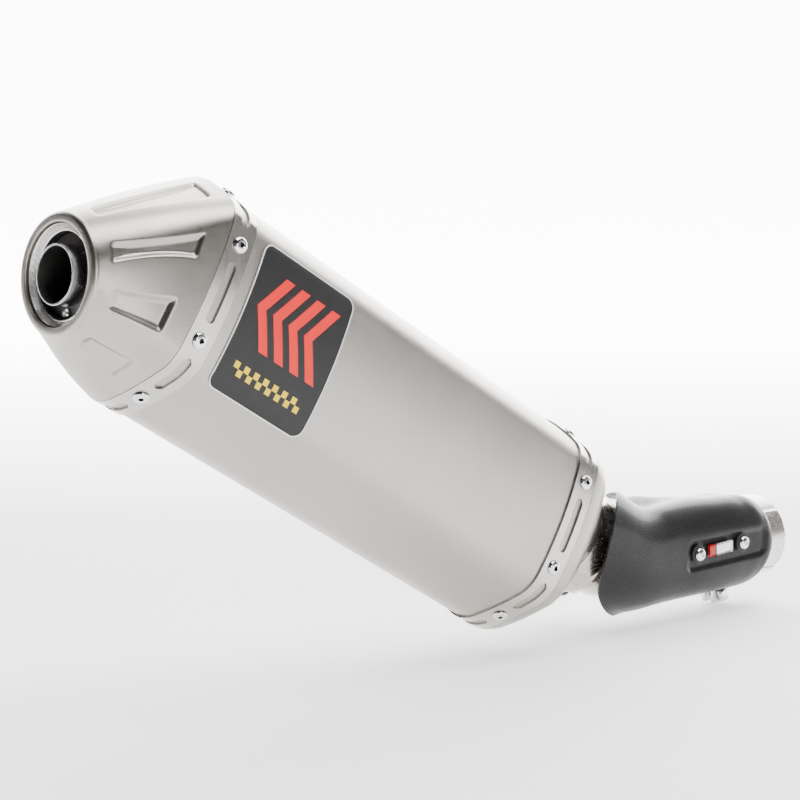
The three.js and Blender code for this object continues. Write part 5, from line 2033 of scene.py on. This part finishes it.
    def fasteners(self) -> list[Piece]:
        """The bosses, washers and button bolts."""
        made = []
        f = self.finishes
        for place, _, _ in self.bolts:
            washer = Bench.copy_of(f"shield_washer_{place}", f"washer_{place}", 0.25 * MM)
            made.append(Bench.fit(washer, Body.PIPE, Slot.RUBBER, f.rubber, f"shield_washer_{place}"))
            boss = Bench.copy_of(f"shield_boss_{place}", f"boss_{place}", 0.4 * MM)
            made.append(Bench.fit(boss, Body.PIPE, Slot.STEEL, f.steel, f"shield_boss_{place}"))
            made.append(self.bolt(place))
        return made

    def bolt(self, place: str) -> Piece:
        """One button-head bolt with a hexagon socket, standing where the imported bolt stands."""
        low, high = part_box(f"shield_bolt_{place}")
        radius = (high.x - low.x) / 2
        centre = Vector(((low.x + high.x) / 2, high.y, (low.z + high.z) / 2))
        length = high.y - low.y
        head = 3 * MM
        neck = length - head
        profile = [
            (0.0, 0.0),
            (2.0 * MM, 0.0),
            (2.4 * MM, 0.4 * MM),
            (2.4 * MM, neck),
            (radius - 0.15 * MM, neck),
            (radius, neck + 0.15 * MM),
            (radius, neck + 0.5 * MM),
            (radius * 0.96, neck + 1.1 * MM),
            (radius * 0.85, neck + 1.9 * MM),
            (radius * 0.68, neck + 2.55 * MM),
            (radius * 0.5, neck + 2.9 * MM),
            (radius * 0.42, length),
            (0.0, length),
        ]
        obj = Turning.spin(f"button_bolt_{place}", profile, 48)
        Bench.cut_away(obj, Bench.rod(1.75 * MM, 3.4 * MM, (0, 0, length), 6))
        obj.data.transform(aim(centre, (0, -1, 0)))
        Bench.smooth(obj, 38)
        return Bench.fit(obj, Body.PIPE, Slot.BRIGHT, self.finishes.bright, f"shield_bolt_{place}")

    def badge(self) -> Piece:
        """The small plate between the bolts."""
        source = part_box("shield_badge")
        (_, x0, z0), (_, x1, z1) = self.bolts
        slope = math.atan2(z1 - z0, x0 - x1)
        length, height, thick = self.badge_size
        obj = Bench.box("shield_plate", (length, thick, height))
        Bench.round_edges(obj, lambda a, b: abs(a.y - b.y) > thick / 2, 1.2 * MM, 5, fresh=False)
        Bench.ease_edges(obj, 0.1 * MM, 2)
        layer = Bench.uv_layer(obj)
        for loop in obj.data.loops:
            co = obj.data.vertices[loop.vertex_index].co
            layer.data[loop.index].uv = (co.x, co.z)
        middle = (source[0] + source[1]) / 2
        obj.data.transform(Matrix.Translation(middle) @ Matrix.Rotation(-slope, 4, "Y"))
        Bench.smooth(obj, 35)
        return Bench.fit(obj, Body.PIPE, Slot.LABEL, Plate("shield plate print").make(), "shield_badge")

    def build(self) -> list[Piece]:
        """Builds the shield's pieces."""
        return [self.skin(), *self.fasteners(), self.badge()]


# ---------------------------------------------------------------- hanger and what is inside


@dataclass
class Hanger:
    """The joggled bracket on the motorcycle's side, its rubber grommet and its bushing."""

    finishes: Finishes

    def build(self) -> list[Piece]:
        """Builds the hanger's pieces with eased edges."""
        f = self.finishes
        made = []
        for node, name, bevel, slot, look in (
            ("hanger_bracket", "hanger_plate", 0.6 * MM, Slot.SATIN, f.satin),
            ("hanger_grommet", "hanger_rubber", 0.8 * MM, Slot.RUBBER, f.rubber),
            ("hanger_bushing", "hanger_sleeve", 0.3 * MM, Slot.STEEL, f.steel),
        ):
            obj = Bench.copy_of(node, name, bevel, 3)
            made.append(Bench.fit(obj, Body.MUFFLER, slot, look, node))
        return made


@dataclass
class Internals:
    """The pieces inside the muffler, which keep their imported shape."""

    finishes: Finishes

    def dress(self) -> list[str]:
        """Gives each piece inside its material.

        Returns:
            The dressed nodes' names.
        """
        f = self.finishes
        # The steel pieces inside take the near-black steel, painted shade inside the muffler; the wool keeps its own
        # colour.
        looks = {
            "outlet_bulkhead": f.painted_shade_steel,
            "inlet_bulkhead": f.painted_shade_steel,
            "core_tube": f.painted_shade_steel,
            "inlet_cone": f.painted_shade_steel,
            "insert_lug": f.painted_shade_steel,
            "packing": f.wool,
        }
        for name, look in looks.items():
            materials = frame["nodes"][name].data.materials
            materials.clear()
            materials.append(look)
        return list(looks)


# ---------------------------------------------------------------- studio


@dataclass(frozen=True)
class Lamp:
    """A soft rectangular light.

    Attributes:
        name: Its name.
        place: Where it stands.
        target: Where it points.
        size: Its width and height.
        power: Its power in watts.
    """

    name: str
    place: tuple[float, float, float]
    target: tuple[float, float, float]
    size: Pair
    power: float

    def build(self) -> None:
        """Sets the light up."""
        data = bpy.data.lights.new(self.name, "AREA")
        data.shape, data.size, data.size_y, data.energy = "RECTANGLE", *self.size, self.power
        obj = Bench.link(self.name, data)
        obj.location = self.place
        obj.rotation_euler = (Vector(self.target) - Vector(self.place)).to_track_quat("-Z", "Y").to_euler()


@dataclass
class Studio:
    """A pale sweep, four soft lights and the camera.

    Attributes:
        floor: Height of the floor.
        eye: Where the camera stands.
        look: Where it looks, as a direction.
        lens: Its focal length in millimetres.
        air, zenith: How bright the air is low down and overhead.
        air_band: Heights, as shares of the sky, between which it darkens.
        glow: How much the sweep glows before and behind the object.
        glow_run: Distances behind the object between which it brightens.
        lamps: The lights.
    """

    floor: float = -44.5 * MM
    eye: tuple[float, float, float] = (-1.3938, -1.123, 0.2819)
    look: tuple[float, float, float] = (0.679, 0.7267, -0.1045)
    lens: float = 113.3
    air: float = 0.16
    zenith: float = 0.02
    air_band: Pair = (0.25, 0.7)
    glow: Pair = (0.8, 9.0)
    glow_run: Pair = (0.35, 2.2)
    lamps: tuple[Lamp, ...] = (
        Lamp("overhead_softbox", (-0.15, -0.55, 2.1), (-0.2, 0, 0), (1.3, 1.0), 40),
        Lamp("cap_softbox", (-0.85, -1.5, 0.35), (-0.58, 0, 0.2), (0.6, 0.9), 8),
        Lamp("right_panel", (1.0, -1.6, 0.45), (-0.3, 0, 0.08), (3.0, 1.6), 4),
        Lamp("backdrop_light", (1.2, 1.3, 2.6), (1.6, 1.8, -0.05), (3.0, 3.0), 130),
    )

    def sweep(self) -> Piece:
        """The floor, which runs up into a backdrop far behind."""
        Bench.clear()
        bpy.ops.mesh.primitive_grid_add(x_subdivisions=2, y_subdivisions=60, size=1)
        obj = bpy.context.object
        obj.name = obj.data.name = "studio_sweep"
        ahead = Vector((self.look[0], self.look[1], 0)).normalized()
        side = Vector((ahead.y, -ahead.x, 0))
        radius, near, far, top = 1.4, 2.5, 3.4, 4.0
        for vertex in obj.data.vertices:
            run = (vertex.co.y + 0.5) * (near + far + radius * math.pi / 2 + top)
            across = vertex.co.x * 14
            flat = run - near
            if flat <= far:
                forward, rise = flat, 0.0
            elif flat <= far + radius * math.pi / 2:
                a = (flat - far) / radius
                forward, rise = far + radius * math.sin(a), radius * (1 - math.cos(a))
            else:
                forward, rise = far + radius, radius + flat - far - radius * math.pi / 2
            vertex.co = ahead * forward + side * across + Vector((0, 0, self.floor + rise))
        Bench.smooth(obj, 60)
        g = Graph("studio paper")
        soft = g.noise(g.mapped(), 3, 2)
        g.set(Base_Color=g.ramp(soft, (0.3, (0.86, 0.86, 0.86)), (0.7, (0.89, 0.89, 0.89))), Roughness=0.85)
        away = g.add("ShaderNodeVectorMath", {0: g.mapped(), 1: ahead}, operation="DOT_PRODUCT").outputs["Value"]
        g.set(Emission_Color=(1, 1, 1, 1), Emission_Strength=g.span(away, *self.glow, self.glow_run))
        obj.data.materials.append(g.material)
        return obj

    def sky(self) -> None:
        """Sets the air: pale low down and dark overhead."""
        world = bpy.data.worlds.new("studio air")
        bpy.context.scene.world = world
        world.use_nodes = True
        tree = world.node_tree
        coords = tree.nodes.new("ShaderNodeTexCoord")
        split = tree.nodes.new("ShaderNodeSeparateXYZ")
        ramp = tree.nodes.new("ShaderNodeValToRGB")
        tree.links.new(coords.outputs["Generated"], split.inputs[0])
        tree.links.new(split.outputs[2], ramp.inputs[0])
        for element, place, level in zip(ramp.color_ramp.elements, self.air_band, (self.air, self.zenith)):
            element.position, element.color = place, (level, level, level, 1)
        tree.links.new(ramp.outputs[0], tree.nodes["Background"].inputs["Color"])

    def build(self) -> None:
        """Sets the sweep, the lights, the sky and the camera."""
        self.sweep()
        for lamp in self.lamps:
            lamp.build()
        self.sky()
        data = bpy.data.cameras.new("main_camera")
        data.lens, data.sensor_width, data.clip_end = self.lens, 36, 50
        camera = Bench.link("main_camera", data)
        camera.location = self.eye
        camera.rotation_euler = Vector(self.look).to_track_quat("-Z", "Y").to_euler()
        bpy.context.scene.camera = camera


def report(name: str, made: Iterable[object]) -> None:
    """Logs what a sub-assembly made."""
    pieces = [getattr(piece, "name", piece) for piece in made]
    LOG.info("%s: %d pieces: %s", name, len(pieces), ", ".join(str(p) for p in pieces))


def main() -> None:
    """Builds the exhaust's looks and the studio."""
    logging.basicConfig(level=logging.INFO, format="%(name)s: %(message)s")
    muffler = MufflerFrame.from_frame()
    finishes = Finishes(muffler)
    shell = Shell(muffler, finishes)
    line = PipeLine()
    report("shell", shell.build())
    report("outlet", Outlet(shell).build())
    report("joint", Joint(shell, line).build())
    report("link pipe", LinkPipe(line, finishes).build())
    report("shield", Shield(line, finishes).build())
    report("hanger", Hanger(finishes).build())
    report("inside", Internals(finishes).dress())
    Studio().build()


if __name__ == "__main__":
    main()
